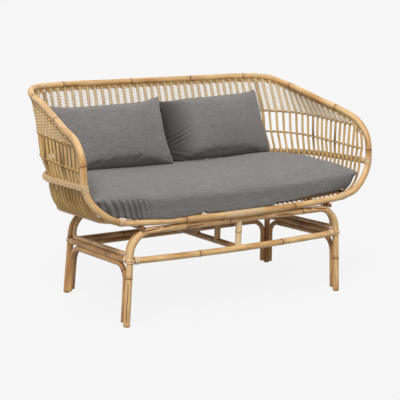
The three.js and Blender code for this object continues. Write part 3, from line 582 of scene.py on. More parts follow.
class Form:
    """Collects swept surfaces in base millimetres, and makes one object of them"""

    def __init__(self):
        self.points, self.grain, self.mark, self.faces = [], [], [], []
        self.count = 0
        self.swept = 0

    def sweep(self, line, radius, sides, swell=None, mark=None, tone=0.0, clamp=None, shade_at=None):
        """A pole or strand: swell and mark take length and angle, and the last argument, painted shade, takes
        the places
        """
        line = np.asarray(line, float)
        along = lengths_of(line)
        tangents = np.empty_like(line)
        steps = np.diff(line, axis=0)
        steps /= np.linalg.norm(steps, axis=1)[:, None]
        tangents[1:-1] = steps[:-1] + steps[1:]
        tangents[0], tangents[-1] = steps[0], steps[-1]
        tangents /= np.linalg.norm(tangents, axis=1)[:, None]
        start = np.cross(tangents[0], (0, 0, 1) if abs(tangents[0][2]) < 0.8 else (0, 1, 0))
        normals = [unit(start)]
        for tangent in tangents[1:]:
            carried = normals[-1] - tangent * (normals[-1] @ tangent)
            normals.append(unit(carried))
        normals = np.array(normals)
        others = np.cross(tangents, normals)
        angles = 2 * math.pi * np.arange(sides) / sides
        radii = np.broadcast_to(np.asarray(radius, float).reshape(-1, 1), (len(line), sides))
        if swell is not None:
            radii = radii + swell(along[:, None], angles[None, :])
        cosines, sines = np.cos(angles)[None, :, None], np.sin(angles)[None, :, None]
        ring = normals[:, None] * cosines + others[:, None] * sines
        points = line[:, None] + ring * radii[..., None]
        if clamp is not None:
            points = clamp(points)
        grain = np.empty_like(points)
        grain[..., 0] = radii * np.cos(angles)
        grain[..., 1] = radii * np.sin(angles)
        grain[..., 2] = along[:, None] + STRAND_GRAIN_STEP * self.swept
        marks = np.full(radii.shape, float(tone))
        if mark is not None:
            marks = marks + mark(along[:, None], angles[None, :])
        if shade_at is not None:
            marks = marks + shade_at(points)
        marks = np.clip(marks, -1, 1)
        base = self.count
        for i in range(len(line) - 1):
            low, high = base + i * sides, base + (i + 1) * sides
            for j in range(sides):
                k = (j + 1) % sides
                self.faces.append((low + j, low + k, high + k, high + j))
        last = base + (len(line) - 1) * sides
        self.faces.append(tuple(base + j for j in reversed(range(sides))))
        self.faces.append(tuple(last + j for j in range(sides)))
        self.points.append(points.reshape(-1, 3))
        self.grain.append(grain.reshape(-1, 3))
        self.mark.append(marks.reshape(-1))
        self.count += len(line) * sides
        self.swept += 1

    def make(self, name, material, slot, seed):
        made = object_of(name, to_frame(np.vstack(self.points)), self.faces)
        grain = np.vstack(self.grain) / 1000 + (0, 0, GRAIN_STEP * seed)
        give(made, "grain", "FLOAT_VECTOR", "vector", grain)
        give(made, "mark", "FLOAT", "value", np.concatenate(self.mark))
        made.data.set_sharp_from_angle(angle=SHARP_ANGLE)
        made.data.materials.append(material)
        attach(made, "root")
        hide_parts(name)


# Materials
def linear(red, green, blue):
    """A colour as seen on screen, 0 to 255, as the renderer's linear colour"""
    shares = [channel / 255 for channel in (red, green, blue)]
    return (*[s / 12.92 if s <= 0.0404 else ((s + 0.055) / 1.055) ** 2.4 for s in shares], 1.0)


class Nodes:
    """Short ways to write a material's nodes"""

    def __init__(self, name):
        self.material = bpy.data.materials.new(name)
        self.material.use_nodes = True
        self.tree = self.material.node_tree
        self.shader = self.tree.nodes["Principled BSDF"]

    def node(self, kind, **values):
        made = self.tree.nodes.new(kind)
        for key, value in values.items():
            setattr(made, key, value)
        return made

    def put(self, socket, value):
        if isinstance(value, bpy.types.NodeSocket):
            self.tree.links.new(value, socket)
        else:
            socket.default_value = value

    def attribute(self, name):
        return self.node("ShaderNodeAttribute", attribute_name=name)

    def stretch(self, vector, scale):
        made = self.node("ShaderNodeVectorMath", operation="MULTIPLY")
        self.put(made.inputs[0], vector)
        made.inputs[1].default_value = scale
        return made.outputs[0]

    def noise(self, vector, detail, roughness=0.5):
        made = self.node("ShaderNodeTexNoise")
        self.put(made.inputs["Vector"], vector)
        made.inputs["Scale"].default_value = 1
        made.inputs["Detail"].default_value = detail
        made.inputs["Roughness"].default_value = roughness
        return made.outputs["Fac"]

    def span(self, value, low, high, to_low=0.0, to_high=1.0):
        made = self.node("ShaderNodeMapRange")
        self.put(made.inputs["Value"], value)
        for socket, number in zip(made.inputs[1:5], (low, high, to_low, to_high)):
            socket.default_value = number
        return made.outputs["Result"]

    def sum(self, a, b, operation="ADD"):
        made = self.node("ShaderNodeMath", operation=operation)
        self.put(made.inputs[0], a)
        self.put(made.inputs[1], b)
        return made.outputs[0]

    def blend(self, share, a, b):
        made = self.node("ShaderNodeMix", data_type="RGBA")
        self.put(made.inputs["Factor"], share)
        self.put(made.inputs["A"], a)
        self.put(made.inputs["B"], b)
        return made.outputs["Result"]

    def bump(self, height, distance, strength):
        made = self.node("ShaderNodeBump")
        made.inputs["Distance"].default_value = distance
        made.inputs["Strength"].default_value = strength
        self.put(made.inputs["Height"], height)
        self.put(self.shader.inputs["Normal"], made.outputs["Normal"])


PALE = (244, 232, 206)
BLOTCH = 9


def cane_material(name, light, deep, dark, roughness, coat, around=520, along=14):
    """Rattan skin with long fibre streaks and soft blotches; dark where mark is 1, bleached where it is -1"""
    n = Nodes(name)
    grain = n.attribute("grain").outputs["Vector"]
    mark = n.attribute("mark").outputs["Fac"]
    streaks = n.noise(n.stretch(grain, (around, around, along)), 3.0, 0.6)
    blotches = n.noise(n.stretch(grain, (3 * BLOTCH, 3 * BLOTCH, BLOTCH)), 2.0)
    flecks = n.noise(n.stretch(grain, (around * 0.8, around * 0.8, around * 0.16)), 1.0)
    blended = n.sum(n.sum(streaks, 0.5, "MULTIPLY"), n.sum(blotches, 0.5, "MULTIPLY"))
    body = n.blend(n.span(blended, 0.36, 0.62), linear(*deep), linear(*light))
    flecked = n.blend(n.span(flecks, 0.66, 0.78, 0, 0.4), body, linear(*dark))
    bleached = n.blend(n.span(mark, -1, 0, 1, 0), flecked, linear(*PALE))
    colour = n.blend(n.span(mark, 0, 1), bleached, linear(*dark))
    n.put(n.shader.inputs["Base Color"], colour)
    n.put(n.shader.inputs["Roughness"], n.span(streaks, 0.2, 0.8, roughness - 0.08, roughness + 0.1))
    n.shader.inputs["Coat Weight"].default_value = coat
    n.shader.inputs["Coat Roughness"].default_value = 0.3
    n.shader.inputs["Specular IOR Level"].default_value = 0.4
    n.bump(streaks, 0.00025, 0.6)
    return n.material


POLE = cane_material("rattan_pole", (240, 206, 150), (184, 130, 70), (112, 52, 16), 0.42, 0.2)
BASE_POLE = cane_material("rattan_base_pole", (222, 176, 114), (152, 96, 46), (92, 40, 14), 0.44, 0.2)
CANE = cane_material("cane", (236, 202, 140), (188, 144, 80), (104, 60, 22), 0.55, 0.05, 700, 30)
WRAP = cane_material("cane_wrap", (240, 216, 176), (210, 174, 126), (124, 80, 40), 0.55, 0.05, 700, 40)


CLOTH_GREY = (127, 125, 124)


def cloth_material(name):
    """Grey canvas with a dry weave and the long slubs of a two-tone yarn"""
    n = Nodes(name)
    weft = n.attribute("grain").outputs["Vector"]
    slubs = n.noise(n.stretch(weft, (22, 380, 380)), 3.0, 0.65)
    warps = n.noise(n.stretch(weft, (420, 24, 420)), 2.0, 0.6)
    clouds = n.noise(n.stretch(weft, (5, 22, 16)), 3.0)
    cross = n.sum(n.span(slubs, 0.3, 0.7), n.span(warps, 0.3, 0.7, 0, 0.6))
    shade = n.sum(cross, n.span(clouds, 0.3, 0.7, 0, 0.18))
    deep, light, shaded_grey = ([c * share for c in CLOTH_GREY] for share in (0.8, 1.14, 0.42))
    body = n.blend(n.span(shade, 0.25, 1.6), linear(*deep), linear(*light))
    # The mark is painted shade: in the hollows of the seat's gathers, on the right pillow beside the left
    # one, and along the pillows' lower edges
    painted_shade = n.attribute("mark").outputs["Fac"]
    n.put(n.shader.inputs["Base Color"], n.blend(painted_shade, body, linear(*shaded_grey)))
    n.shader.inputs["Roughness"].default_value = 0.92
    n.shader.inputs["Sheen Weight"].default_value = 0.25
    n.shader.inputs["Sheen Roughness"].default_value = 0.5
    n.shader.inputs["Specular IOR Level"].default_value = 0.2
    threads = n.sum(
        n.noise(n.stretch(weft, (300, 1500, 1500)), 1.0),
        n.noise(n.stretch(weft, (1500, 300, 1500)), 1.0),
    )
    n.bump(threads, 0.0006, 0.5)
    return n.material


CLOTH = cloth_material("grey_canvas")


# Growth rings along a pole: a swelling with a fine groove, a dark line, and a soft shade past it
RING_WANDER = 1.2
RING_SWELL, RING_SWELL_WIDTH = 0.75, 5.5
RING_GROOVE, RING_GROOVE_WIDTH = 0.5, 1.1
RING_TONE, RING_TONE_WIDTH = 0.95, 2.1
RING_SHADE, RING_SHADE_PLACE, RING_SHADE_WIDTH = 0.3, 6, 9
RING_STOPS = (-12, -8, -5.5, -3.6, -2.2, -1.1, 0, 1.1, 2.2, 3.6, 5.5, 8, 12)
RING_FIRST, RING_LAST = 60, 40
RING_PITCHES = (230, 390)
FOOT_STOPS = (0.8, 2, 6, 20)
FOOT_ROUNDING, FOOT_ROUNDING_LENGTH = 1.6, 2


def bell(away, width):
    return np.exp(-((away / width) ** 2))


def over_knots(knots, at_knot):
    """A swell or mark that sums what each growth ring adds at a distance from it"""

    def total(along, angles):
        found = np.zeros(np.broadcast(along, angles).shape)
        for knot in knots:
            found = found + at_knot(along - knot - RING_WANDER * np.sin(2 * angles + knot))
        return found

    return total


def knot_swell(knots):
    return over_knots(
        knots,
        lambda away: RING_SWELL * bell(away, RING_SWELL_WIDTH) - RING_GROOVE * bell(away, RING_GROOVE_WIDTH),
    )


def knot_mark(knots):
    return over_knots(
        knots,
        lambda away: RING_TONE * bell(away, RING_TONE_WIDTH)
        + RING_SHADE * bell(away - RING_SHADE_PLACE, RING_SHADE_WIDTH),
    )


def spread_knots(length, seed):
    """Growth rings at uneven places, the same at each run"""
    draw = np.random.default_rng(seed)
    low, high = RING_PITCHES
    knots, here = [], draw.uniform(RING_FIRST, high)
    while here < length - RING_LAST:
        knots.append(float(here))
        here += draw.uniform(low, high)
    return knots


def pole(name, line, radius, sides=16, material=POLE, extra=None, foot=False, step=12, **ways):
    """A pole of one piece of rattan, and its own object"""
    seed = sum(map(ord, name))
    line = np.asarray(line, float)
    length = lengths_of(line)[-1]
    knots = KNOTS[name] if name in KNOTS else spread_knots(length, seed)
    stops = [knot + ring for knot in knots for ring in RING_STOPS]
    stops += FOOT_STOPS if foot else []
    line = with_stops(line, [*stops, *np.arange(0, length, step)])
    radii = np.full(len(line), float(radius))
    if foot:
        radii -= FOOT_ROUNDING * np.clip(1 - lengths_of(line) / FOOT_ROUNDING_LENGTH, 0, 1)
    rings = knot_mark(knots)
    mark = (lambda along, angles: rings(along, angles) + extra(along, angles)) if extra else rings
    form = Form()
    form.sweep(line, radii, sides, knot_swell(knots), mark, TONES_AND_SHADE.get(name, 0), **ways)
    form.make(name, material, "rattan_pole", seed)


# Base: two hoops, stretchers, braces, bearers and posts
SLIT_WIDTH = 0.7
SLIT_HALF = 2.6
SLIT_DEPTH = 2.4
SLIT_TAPER = 9
# Open splits beside the scarf joints: the spread and lift above the rail's middle at each end
SPLITS = (((446, 1), (376, 8)), ((366, 8), (335, 9)), ((264, -4), (172, 1)), ((98, 5), (82, 6)))


def split_depth(hoop, points):
    """1 in the open splits on a hoop's outer face, else 0"""
    spread, lift = np.abs(points[..., 0]), points[..., 2] - hoop.rail_height
    total = np.zeros(spread.shape)
    for (far, low), (near, high) in SPLITS:
        share = (spread - near) / (far - near)
        ends = np.clip(np.minimum(share, 1 - share) * (far - near) / SLIT_TAPER, 0, 1)
        away = (lift - high - (low - high) * np.clip(share, 0, 1)) / (SLIT_HALF * (0.35 + 0.65 * ends))
        total += (ends > 0) * np.exp(-(away**4))
    outside = (points[..., 1] * hoop.end) > RAIL_HALF_DEPTH
    return np.clip(total, 0, 1) * outside


def scarf_clamp(hoop, side, above):
    """Keeps a pole on its side of the slanted scarf cut, and opens the splits"""

    def clamp(points):
        points = points.copy()
        sides = (side,) if above else (-1, 1)
        for one in sides:
            share = (points[..., 0] * one - SCARF_HALF_SPACING) / SCARF_LENGTH
            across = points[..., 1] - hoop.end * RAIL_HALF_DEPTH
            up = points[..., 2] - hoop.rail_height
            cut = -2 * share * LEG_RADIUS + (SLIT_WIDTH if above else -SLIT_WIDTH) / 2
            chord = np.sqrt(np.clip(LEG_RADIUS**2 - cut**2, 0.04, None))
            hit = (share > -0.7) & (share < 0.5) & ((up < cut) if above else (up > cut))
            squeezed = np.clip(cut, -LEG_RADIUS, LEG_RADIUS)
            points[..., 2] = np.where(hit, hoop.rail_height + squeezed, points[..., 2])
            kept = np.clip(across, -chord, chord)
            points[..., 1] = np.where(hit, hoop.end * RAIL_HALF_DEPTH + kept, points[..., 1])
        points[..., 1] -= hoop.end * SLIT_DEPTH * split_depth(hoop, points)
        return points

    return clamp


def split_shade(hoop):
    """Painted shade inside the splits"""
    return lambda points: SPLIT_SHADE * split_depth(hoop, points)


def foot_stain(along, angles):
    """A darker cut end"""
    return FOOT_TONE * np.exp(-((along / FOOT_STAIN_LENGTH) ** 2)) + 0 * angles


def cracked_foot(along, angles):
    """A darker cut end, and painted shade along the split in the front left leg, which has no groove"""
    low, high = LEG_CRACK_RUN
    inside = np.clip((along - low) / LEG_CRACK_FADE, 0, 1) * np.clip((high - along) / LEG_CRACK_FADE, 0, 1)
    wander = LEG_CRACK_ANGLE + 0.08 * np.sin(along / 17)
    away = np.angle(np.exp(1j * (angles - wander)))
    return foot_stain(along, angles) + LEG_CRACK_SHADE * inside * np.exp(-((away / LEG_CRACK_WIDTH) ** 2))


for hoop_word, hoop in HOOPS.items():
    wood = POLE if hoop is FRONT else BASE_POLE
    # Painted shade in the splits
    fine = {"sides": 28, "step": 6, "material": wood, "shade_at": split_shade(hoop)}
    for side_word, side in SIDES.items():
        name = f"{hoop_word}_{side_word}_leg"
        extra = cracked_foot if name == "front_left_leg" else foot_stain
        clamp = scarf_clamp(hoop, side, True)
        pole(name, hoop.leg_line(side), LEG_RADIUS, extra=extra, foot=True, clamp=clamp, **fine)
    clamp = scarf_clamp(hoop, 1, False)
    pole(f"{hoop_word}_top_rail", hoop.rail_line(), LEG_RADIUS, clamp=clamp, **fine)


JOINT_SHADE_LENGTH = 22


def dark_ends(line):
    """A pole's ends in the shade of their joints"""
    length = lengths_of(line)[-1]

    def mark(along, angles):
        from_end = np.minimum(along, length - along)
        return JOINT_TONE * np.exp(-((from_end / JOINT_SHADE_LENGTH) ** 4)) + 0 * angles

    return mark


front_run = front_stretcher_line()
pole("front_stretcher", front_run, STRETCHER_RADIUS, extra=dark_ends(front_run))
back_stretcher = [BACK.joint(-1), BACK.joint(1)]
pole("back_stretcher", back_stretcher, STRETCHER_RADIUS, material=BASE_POLE)
centre = [STRETCHER_FRONT_CENTRE, STRETCHER_BACK_CENTRE]
pole("centre_stretcher", centre, CENTRE_STRETCHER_RADIUS, material=BASE_POLE)
for word, side in SIDES.items():
    stretcher = [FRONT.joint(side), BACK.joint(side)]
    pole(f"{word}_stretcher", stretcher, STRETCHER_RADIUS, material=BASE_POLE, extra=dark_ends(stretcher))
    pole(f"{word}_lower_brace", side_brace_line(side), LOWER_BRACE_RADIUS, 14, BASE_POLE, foot_stain)
    pole(f"{word}_upper_brace", upper_brace_line(side), UPPER_BRACE_RADIUS, 12)
    pole(f"{word}_bearer", bearer_line(side * SIDE_BEARER_SPREAD), BEARER_RADIUS, 12, BASE_POLE)
pole("back_lower_brace", back_brace_line(), LOWER_BRACE_RADIUS, 14, BASE_POLE, foot_stain)
pole("centre_bearer", bearer_line(0), BEARER_RADIUS, 12, BASE_POLE)
for index in range(4):
    pole(f"post_{index + 1}", post_line(index), POST_RADIUS)

# Rim loop
RIM_RUNS = {
    "rim_back_rail": (-1 - TOP_CORNER, TOP_CORNER),
    "rim_right_arm": (TOP_CORNER, BOTTOM_CORNER),
    "front_rail_right": (BOTTOM_CORNER, SEAT_JOINT),
    "front_rail_left": (SEAT_JOINT, left_station(BOTTOM_CORNER)),
    "rim_left_arm": (left_station(BOTTOM_CORNER), left_station(TOP_CORNER)),
}
for name, (start, end) in RIM_RUNS.items():
    pole(name, rim_line(start, end), RIM_RADIUS, 20)
pole("bottom_ring", ring_line(), RING_RADIUS, 14, BASE_POLE)
for side_word, side in SIDES.items():
    post = eased(corner_post_line(side), 6)
    pole(f"{side_word}_corner_post", post, CORNER_POST_RADIUS, 12, CANE)

# Wound cane: a sleeve with a ridge for each turn
WIND_PITCH = 7.6
WIND_RISE = 2.8
WIND_FULLNESS = 0.55
WIND_SINK = 0.25
WIND_END = 2.5
WIND_GROOVE_SHADE, WIND_TONE_WIDTH = 0.8, 0.34
CORNER_WRAP_LENGTH = 27
ARM_WRAP_LENGTH = 28
SEAT_WRAP_LENGTH = 29
CENTRE_WRAP_LENGTH = 188
BRANCH_WRAP_LENGTH = 20


def wound(form, line, radius, tone=0.0):
    line = np.asarray(line, float)
    length = lengths_of(line)[-1]
    line = with_stops(line, np.arange(0, length, WIND_PITCH / 6))

    def ridge(along, angles):
        return np.abs(np.sin(math.pi * (along / WIND_PITCH - angles / (2 * math.pi))))

    def swell(along, angles):
        ends = np.clip(np.minimum(along, length - along) / WIND_END, 0, 1) ** 0.5
        return WIND_RISE * (ridge(along, angles) ** WIND_FULLNESS - WIND_SINK) * ends

    # Painted shade in the grooves between the turns, with a faint uneven tone
    def groove(along, angles):
        return WIND_GROOVE_SHADE * bell(ridge(along, angles), WIND_TONE_WIDTH) + 0.06 * np.sin(along * 1.7 + angles)

    form.sweep(line, radius + CLEARANCE, 24, swell, groove, tone)


def run_from(start, towards, begin, length):
    direction = unit(towards - start)
    first = start + direction * begin
    return np.array([first, first + direction * length])


def along_rim(station, length):
    nearby = 0.01
    step = np.linalg.norm(rim_at(station + nearby) - rim_at(station - nearby)) / (2 * nearby)
    half = length / 2 / step
    return rim_line(station - half, station + half, 40)


hoop_points = hoop_line()
RIM_WRAPS = []
for side_word, side in SIDES.items():
    on = left_station if side < 0 else (lambda station: station)
    post = corner_post_line(side)
    hoop_next = hoop_points[1] if side < 0 else hoop_points[-2]
    RIM_WRAPS += [
        (f"{side_word}_corner_wrap", on(TOP_CORNER), CORNER_WRAP_LENGTH, (post[1], CORNER_POST_RADIUS)),
        (f"{side_word}_arm_wrap", on(HOOP_END), ARM_WRAP_LENGTH, (hoop_next, HOOP_RADIUS)),
        (f"{side_word}_seat_wrap", on(BOTTOM_CORNER), SEAT_WRAP_LENGTH, None),
    ]
RIM_WRAPS.append(("centre_wrap", SEAT_JOINT, CENTRE_WRAP_LENGTH, None))
for index, (name, station, length, branch) in enumerate(RIM_WRAPS):
    form = Form()
    wound(form, along_rim(station, length), RIM_RADIUS)
    if branch:
        towards, radius = branch
        wound(form, run_from(rim_at(station), towards, RIM_RADIUS * 0.8, BRANCH_WRAP_LENGTH), radius)
    form.make(name, WRAP, "cane_wrap", index)


# Lashings: two strands round the leg, and a wound sleeve on each stretcher that meets it
LASHING_STRAND = 2.9
LASHING_OPENING = 5
LASHING_LIFTS = (-4.4, 4.4)
LASHING_RADIUS = LEG_RADIUS + 1.8
LASHING_REACH = 7.5
LASHING_TONE = -0.1
SLEEVE_LENGTHS = (20, 12)


def lashing_loop(centre, axis, towards):
    """A loop round a leg that runs on to the stretcher beside it"""
    axis = unit(axis)
    first = unit(towards - axis * (towards @ axis))
    second = np.cross(axis, first)
    angles = np.linspace(0, 2 * math.pi, 41)
    cosines = np.cos(angles)
    stretched = np.where(cosines > 0, LASHING_RADIUS + LASHING_REACH * cosines**3, LASHING_RADIUS) * cosines
    return centre + np.outer(stretched, first) + np.outer(LASHING_RADIUS * np.sin(angles), second)


def ring_round(centre, axis, radius):
    axis = unit(axis)
    first = unit(np.cross(axis, (0, 1, 0)))
    second = np.cross(axis, first)
    angles = np.linspace(0, 2 * math.pi, 29)
    return centre + radius * (np.outer(np.cos(angles), first) + np.outer(np.sin(angles), second))


for hoop_word, hoop in HOOPS.items():
    across = front_stretcher_line() if hoop is FRONT else np.array(back_stretcher)
    for side_word, side in SIDES.items():
        form = Form()
        joint = hoop.joint(side)
        leg_axis = hoop.leg(hoop.rail_height, side) - hoop.leg(0, side)
        along = across[1] if side < 0 else across[-2]
        inward = joint - at(0, hoop.end * 100, 0)
        begin = LEG_RADIUS + LASHING_OPENING
        for lift in LASHING_LIFTS:
            ring = ring_round(joint + (0, 0, lift), leg_axis, LASHING_RADIUS)
            form.sweep(ring, LASHING_STRAND, 8, tone=LASHING_TONE)
        for towards, length in zip((along, inward), SLEEVE_LENGTHS):
            wound(form, run_from(joint, towards, begin, length), STRETCHER_RADIUS, LASHING_TONE)
            for lift in LASHING_LIFTS:
                form.sweep(lashing_loop(joint + (0, 0, lift), leg_axis, towards - joint), LASHING_STRAND, 8)
        form.make(f"{hoop_word}_{side_word}_lashing", WRAP, "cane_wrap", 20 + side)


# Shell: canes, twined rows, and fine strands woven in and out between the upper row and the rim
CANE_DRAWN_RADIUS = 5.3
STRAND_RADIUS = 1.15
STRAND_TONE = -0.75
STRAND_PITCH = 6.2
COIL_RADIUS = 1.5
COIL_PITCH = 8.5
COIL_PER_TURN = 7
COIL_TONE, COIL_TONE_SWING = -0.45, 0.35
TWINE_RADIUS = 2.5
TWINE_RISE = 2.6
TWINE_TONE = 0.22
UNDER_RIM_DROPS = (4, 10)
UNDER_RIM_TONE = 0.12
BIND_RADIUS = 2.1
BIND_PITCH = 30
BIND_REACH = HOOP_RADIUS + 0.2
BIND_TONE, BIND_TONE_SWING = 0.22, 0.3
HOOP_CORE_RADIUS = HOOP_RADIUS - 1.4
HOOP_CORE_TONE = 0.55
# The deck canes are darkened as painted shade under the seat cushion
DECK_SHADE = 0.75
CROSS_CANE_TONE = 0.2


def toned(tones):
    """A mark that has one tone for each place along a strand"""
    return lambda along, angles: tones[:, None] + 0 * angles


def above_row(line):
    """A cane's way from the upper row to the rim, and how long it is"""
    rising = line[0] - line[1]
    return rising, np.linalg.norm(rising)


class Weave:
    """One panel of the shell: its canes from one end to the other, and what is woven through them"""

    def __init__(self, name, shares, lengths_at, side, post_shares):
        self.name, self.form = name, Form()
        self.canes, self.posts = [], []
        for share in sorted([*shares, *post_shares]):
            on = side or (-1 if share < 0 else 1)
            lengths = lengths_at(abs(share))
            self.posts.append(share in post_shares)
            line = cane_line(lengths, on)
            if line[1][2] > line[0][2] - 2 * RIM_RADIUS:
                line[1] = mix(line[0], line[2], 0.35)
            self.canes.append((line, ROW.outward(on * lengths[2])))

    def uprights(self):
        draw = np.random.default_rng(len(self.canes))
        for (line, _), post in zip(self.canes, self.posts):
            if post:
                continue
            smooth = np.vstack([line[:3], eased(line[3:], 3)])
            tone = float(draw.uniform(0, 0.12))
            mark = knot_mark([float(draw.uniform(30, 260))])
            self.form.sweep(smooth, CANE_DRAWN_RADIUS, 8, tone=tone, mark=mark)

    def through(self, places, radius, reach, tone, phase, rise=0.0, per=4, sides=6):
        """A strand through places on the canes, first before one and then behind the next"""
        points, facings = np.array([p for p, _ in places]), np.array([f for _, f in places])
        count = len(points)
        t = np.linspace(0, count - 1, (count - 1) * per + 1)
        ends = np.vstack([2 * points[0] - points[1], points, 2 * points[-1] - points[-2]])
        middle = eased(ends, per)[per : per + len(t)]
        out = np.stack([np.interp(t, np.arange(count), facings[:, k]) for k in range(3)], -1)
        wave = np.cos(math.pi * (t + phase))
        lift = np.sin(math.pi * (t + phase))
        line = middle + out * (reach * wave)[:, None]
        line[:, 2] += rise * lift
        self.form.sweep(line, radius, sides, tone=tone)

    def row(self, level_index):
        """A twined pair along a level"""
        places = [(line[level_index], facing) for line, facing in self.canes]
        reach = CANE_RADIUS + TWINE_RADIUS * 0.7
        for strand in (0, 1):
            self.through(places, TWINE_RADIUS, reach, TWINE_TONE, strand, TWINE_RISE)

    def spans(self, height):
        """Runs of canes that are at least this tall between the upper row and the rim"""
        runs, run = [], []
        for line, facing in self.canes:
            rising, tall = above_row(line)
            if height < tall - RIM_RADIUS - 2:
                run.append((line[1] + rising * height / tall, facing))
            else:
                runs.append(run)
                run = []
        return [r for r in [*runs, run] if len(r) > 2]

    def coils(self):
        """Strands wound round each cane between the upper row and the rim"""
        for (line, facing), post in zip(self.canes, self.posts):
            rising, tall = above_row(line)
            if tall < 2 * RIM_RADIUS:
                continue
            up = rising / tall
            across = unit(np.cross(up, facing))
            out = np.cross(across, up)
            run = tall - RIM_RADIUS * 0.6
            count = int(run / COIL_PITCH * COIL_PER_TURN)
            climb = np.linspace(0, run, count + 1)
            core = CORNER_POST_RADIUS if post else CANE_DRAWN_RADIUS
            reach = core + COIL_RADIUS * 0.4
            for start in (0, math.pi):
                turn = 2 * math.pi * climb / COIL_PITCH + start
                ring = across * (1.12 * np.cos(turn))[:, None] + out * np.sin(turn)[:, None]
                coil = line[1] + up * climb[:, None] + reach * ring
                self.form.sweep(coil, COIL_RADIUS, 5, mark=toned(COIL_TONE_SWING * np.sin(turn) + COIL_TONE))

    def mesh(self):
        tallest = max(above_row(line)[1] for line, _ in self.canes)
        reach = CANE_DRAWN_RADIUS + STRAND_RADIUS
        for index in range(1, int(tallest / STRAND_PITCH) + 1):
            for run in self.spans(index * STRAND_PITCH):
                self.through(run, STRAND_RADIUS, reach, STRAND_TONE, index % 2, per=3, sides=5)

    def under_rim(self):
        for pair, drop in enumerate(UNDER_RIM_DROPS):
            places = []
            for line, facing in self.canes:
                rising, tall = above_row(line)
                down = RIM_RADIUS + drop
                if tall > down + 12:
                    places.append((line[0] - rising / tall * down, facing))
            for strand in (0, 1):
                phase = strand + pair / 2
                self.through(places, TWINE_RADIUS, CANE_RADIUS + 1.5, UNDER_RIM_TONE, phase, TWINE_RISE)

    def make(self, seed):
        self.uprights()
        self.row(1)
        self.row(2)
        self.coils()
        self.mesh()
        self.under_rim()
        self.form.make(self.name, CANE, "cane", seed)


Weave("back_cane_panel", BACK_SHARES, back_lengths, 0, (-1, 1)).make(1)
for side_word, side in SIDES.items():
    Weave(f"{side_word}_cane_panel", ARM_SHARES, arm_lengths, side, (0,)).make(3 + side)

# The mid hoop, bound both ways with split cane
form = Form()
hoop_smooth = evenly(hoop_points, 10)
form.sweep(hoop_smooth, HOOP_CORE_RADIUS, 12, tone=HOOP_CORE_TONE)
hoop_length = lengths_of(hoop_smooth)[-1]
turns = with_stops(hoop_smooth, np.arange(0, hoop_length, BIND_PITCH / 10))
turn_lengths = lengths_of(turns)
tangents = np.gradient(turns, axis=0)
tangents /= np.linalg.norm(tangents, axis=1)[:, None]
level_out = np.cross(tangents, (0, 0, 1.0))
level_out /= np.linalg.norm(level_out, axis=1)[:, None]
upward = np.cross(level_out, tangents)
for way in (-1, 1):
    for start in (0, math.pi):
        angles = way * 2 * math.pi * turn_lengths / BIND_PITCH + start
        ring = level_out * np.cos(angles)[:, None] + upward * np.sin(angles)[:, None]
        tones = BIND_TONE + BIND_TONE_SWING * np.sin(angles + 0.6)
        form.sweep(turns + BIND_REACH * ring, BIND_RADIUS, 6, mark=toned(tones))
form.make("mid_hoop", WRAP, "cane_wrap", 7)

# Seat deck
form = Form()
deck_count = 2 * (DECK_HALF_WIDTH // DECK_PITCH)
for index in range(deck_count):
    x = (index - (deck_count - 1) / 2) * DECK_PITCH
    form.sweep(evenly(deck_line(x), 60), CANE_RADIUS, 8, tone=DECK_SHADE)
for setback in CROSS_CANE_SETBACKS:
    xs = np.linspace(-DECK_HALF_WIDTH, DECK_HALF_WIDTH, 21)
    y = RIM_FRONT + setback
    drop = CANE_RADIUS + CROSS_CANE_RADIUS - DECK_SINK
    form.sweep([at(x, y, deck_height(x, y) - drop) for x in xs], CROSS_CANE_RADIUS, 8, tone=CROSS_CANE_TONE)
form.make("seat_deck", CANE, "cane", 9)

# Cushions
CUSHION = INNER_HOOP.drawn_in(CANE_RADIUS + 12)
CUSHION_HEIGHT = 78
CUSHION_EDGE_RISE = 16
CUSHION_CROWN = 34
CUSHION_FRONT = RIM_FRONT - 14
CUSHION_FRONT_BOW = 96
CUSHION_END = CUSHION_FRONT + CUSHION_FRONT_BOW
CUSHION_TIP_DRAW = 8
FRONT_HANG_TOP = 452
SEAM_SPREAD = 627
CORNER_SPREAD = CUSHION.half_width - CUSHION_TIP_DRAW
CORNER_DEPTH = CUSHION_END + 2
CORNER_HEIGHT = 503
CUSHION_SIDE_RINGS = (
    (132, 88, 0.0),
    (96, 44, 0.0),
    (64, 12, 0.0),
    (36, 3, 0.1),
    (18, 1, 0.34),
    (9, 1, 0.62),
    (4, 2, 0.86),
    (3, 3, 0.97),
)
CUSHION_TOP_RINGS = (
    (8, 0.12),
    (20, 0.3),
    (40, 0.52),
    (66, 0.69),
    (98, 0.83),
    (135, 0.93),
    (172, 0.98),
    (205, 1.0),
)
FRONT_BAYS = 56
BEND_BAYS = 16


def cushion_outline(side_inset, front_inset):
    level = CUSHION.drawn_in(side_inset)
    across = np.linspace(-1, 1, FRONT_BAYS + 1)
    front = np.zeros((len(across), 3))
    front[:, 0] = across * (level.half_width - CUSHION_TIP_DRAW)
    front[:, 1] = CUSHION_END + front_inset - CUSHION_FRONT_BOW * (1 - np.abs(across) ** 3)
    side_length = level.length_at_depth(CUSHION_END + front_inset + CUSHION_TIP_DRAW)
    right = [*np.linspace(side_length, level.side_start, 8)[:-1]]
    right += [*np.linspace(level.side_start, level.straight, BEND_BAYS + 1)]
    back = [*np.linspace(level.straight, -level.straight, FRONT_BAYS // 2 + 1)[1:-1]]
    rest = [level.point(length) for length in [*right, *back, *[-length for length in reversed(right)]]]
    return np.vstack([front, rest])


def cushion_top(points):
    across = np.abs(points[:, 0]) / CUSHION.half_width
    return SEAT_RAIL + RIM_RADIUS + CUSHION_HEIGHT + CUSHION_EDGE_RISE * across**2


def cushion_floor(points):
    reach = DECK_HALF_WIDTH
    heights = [deck_height(min(max(p[0], -reach), reach), p[1]) for p in points]
    return np.array(heights) + CANE_RADIUS + 1


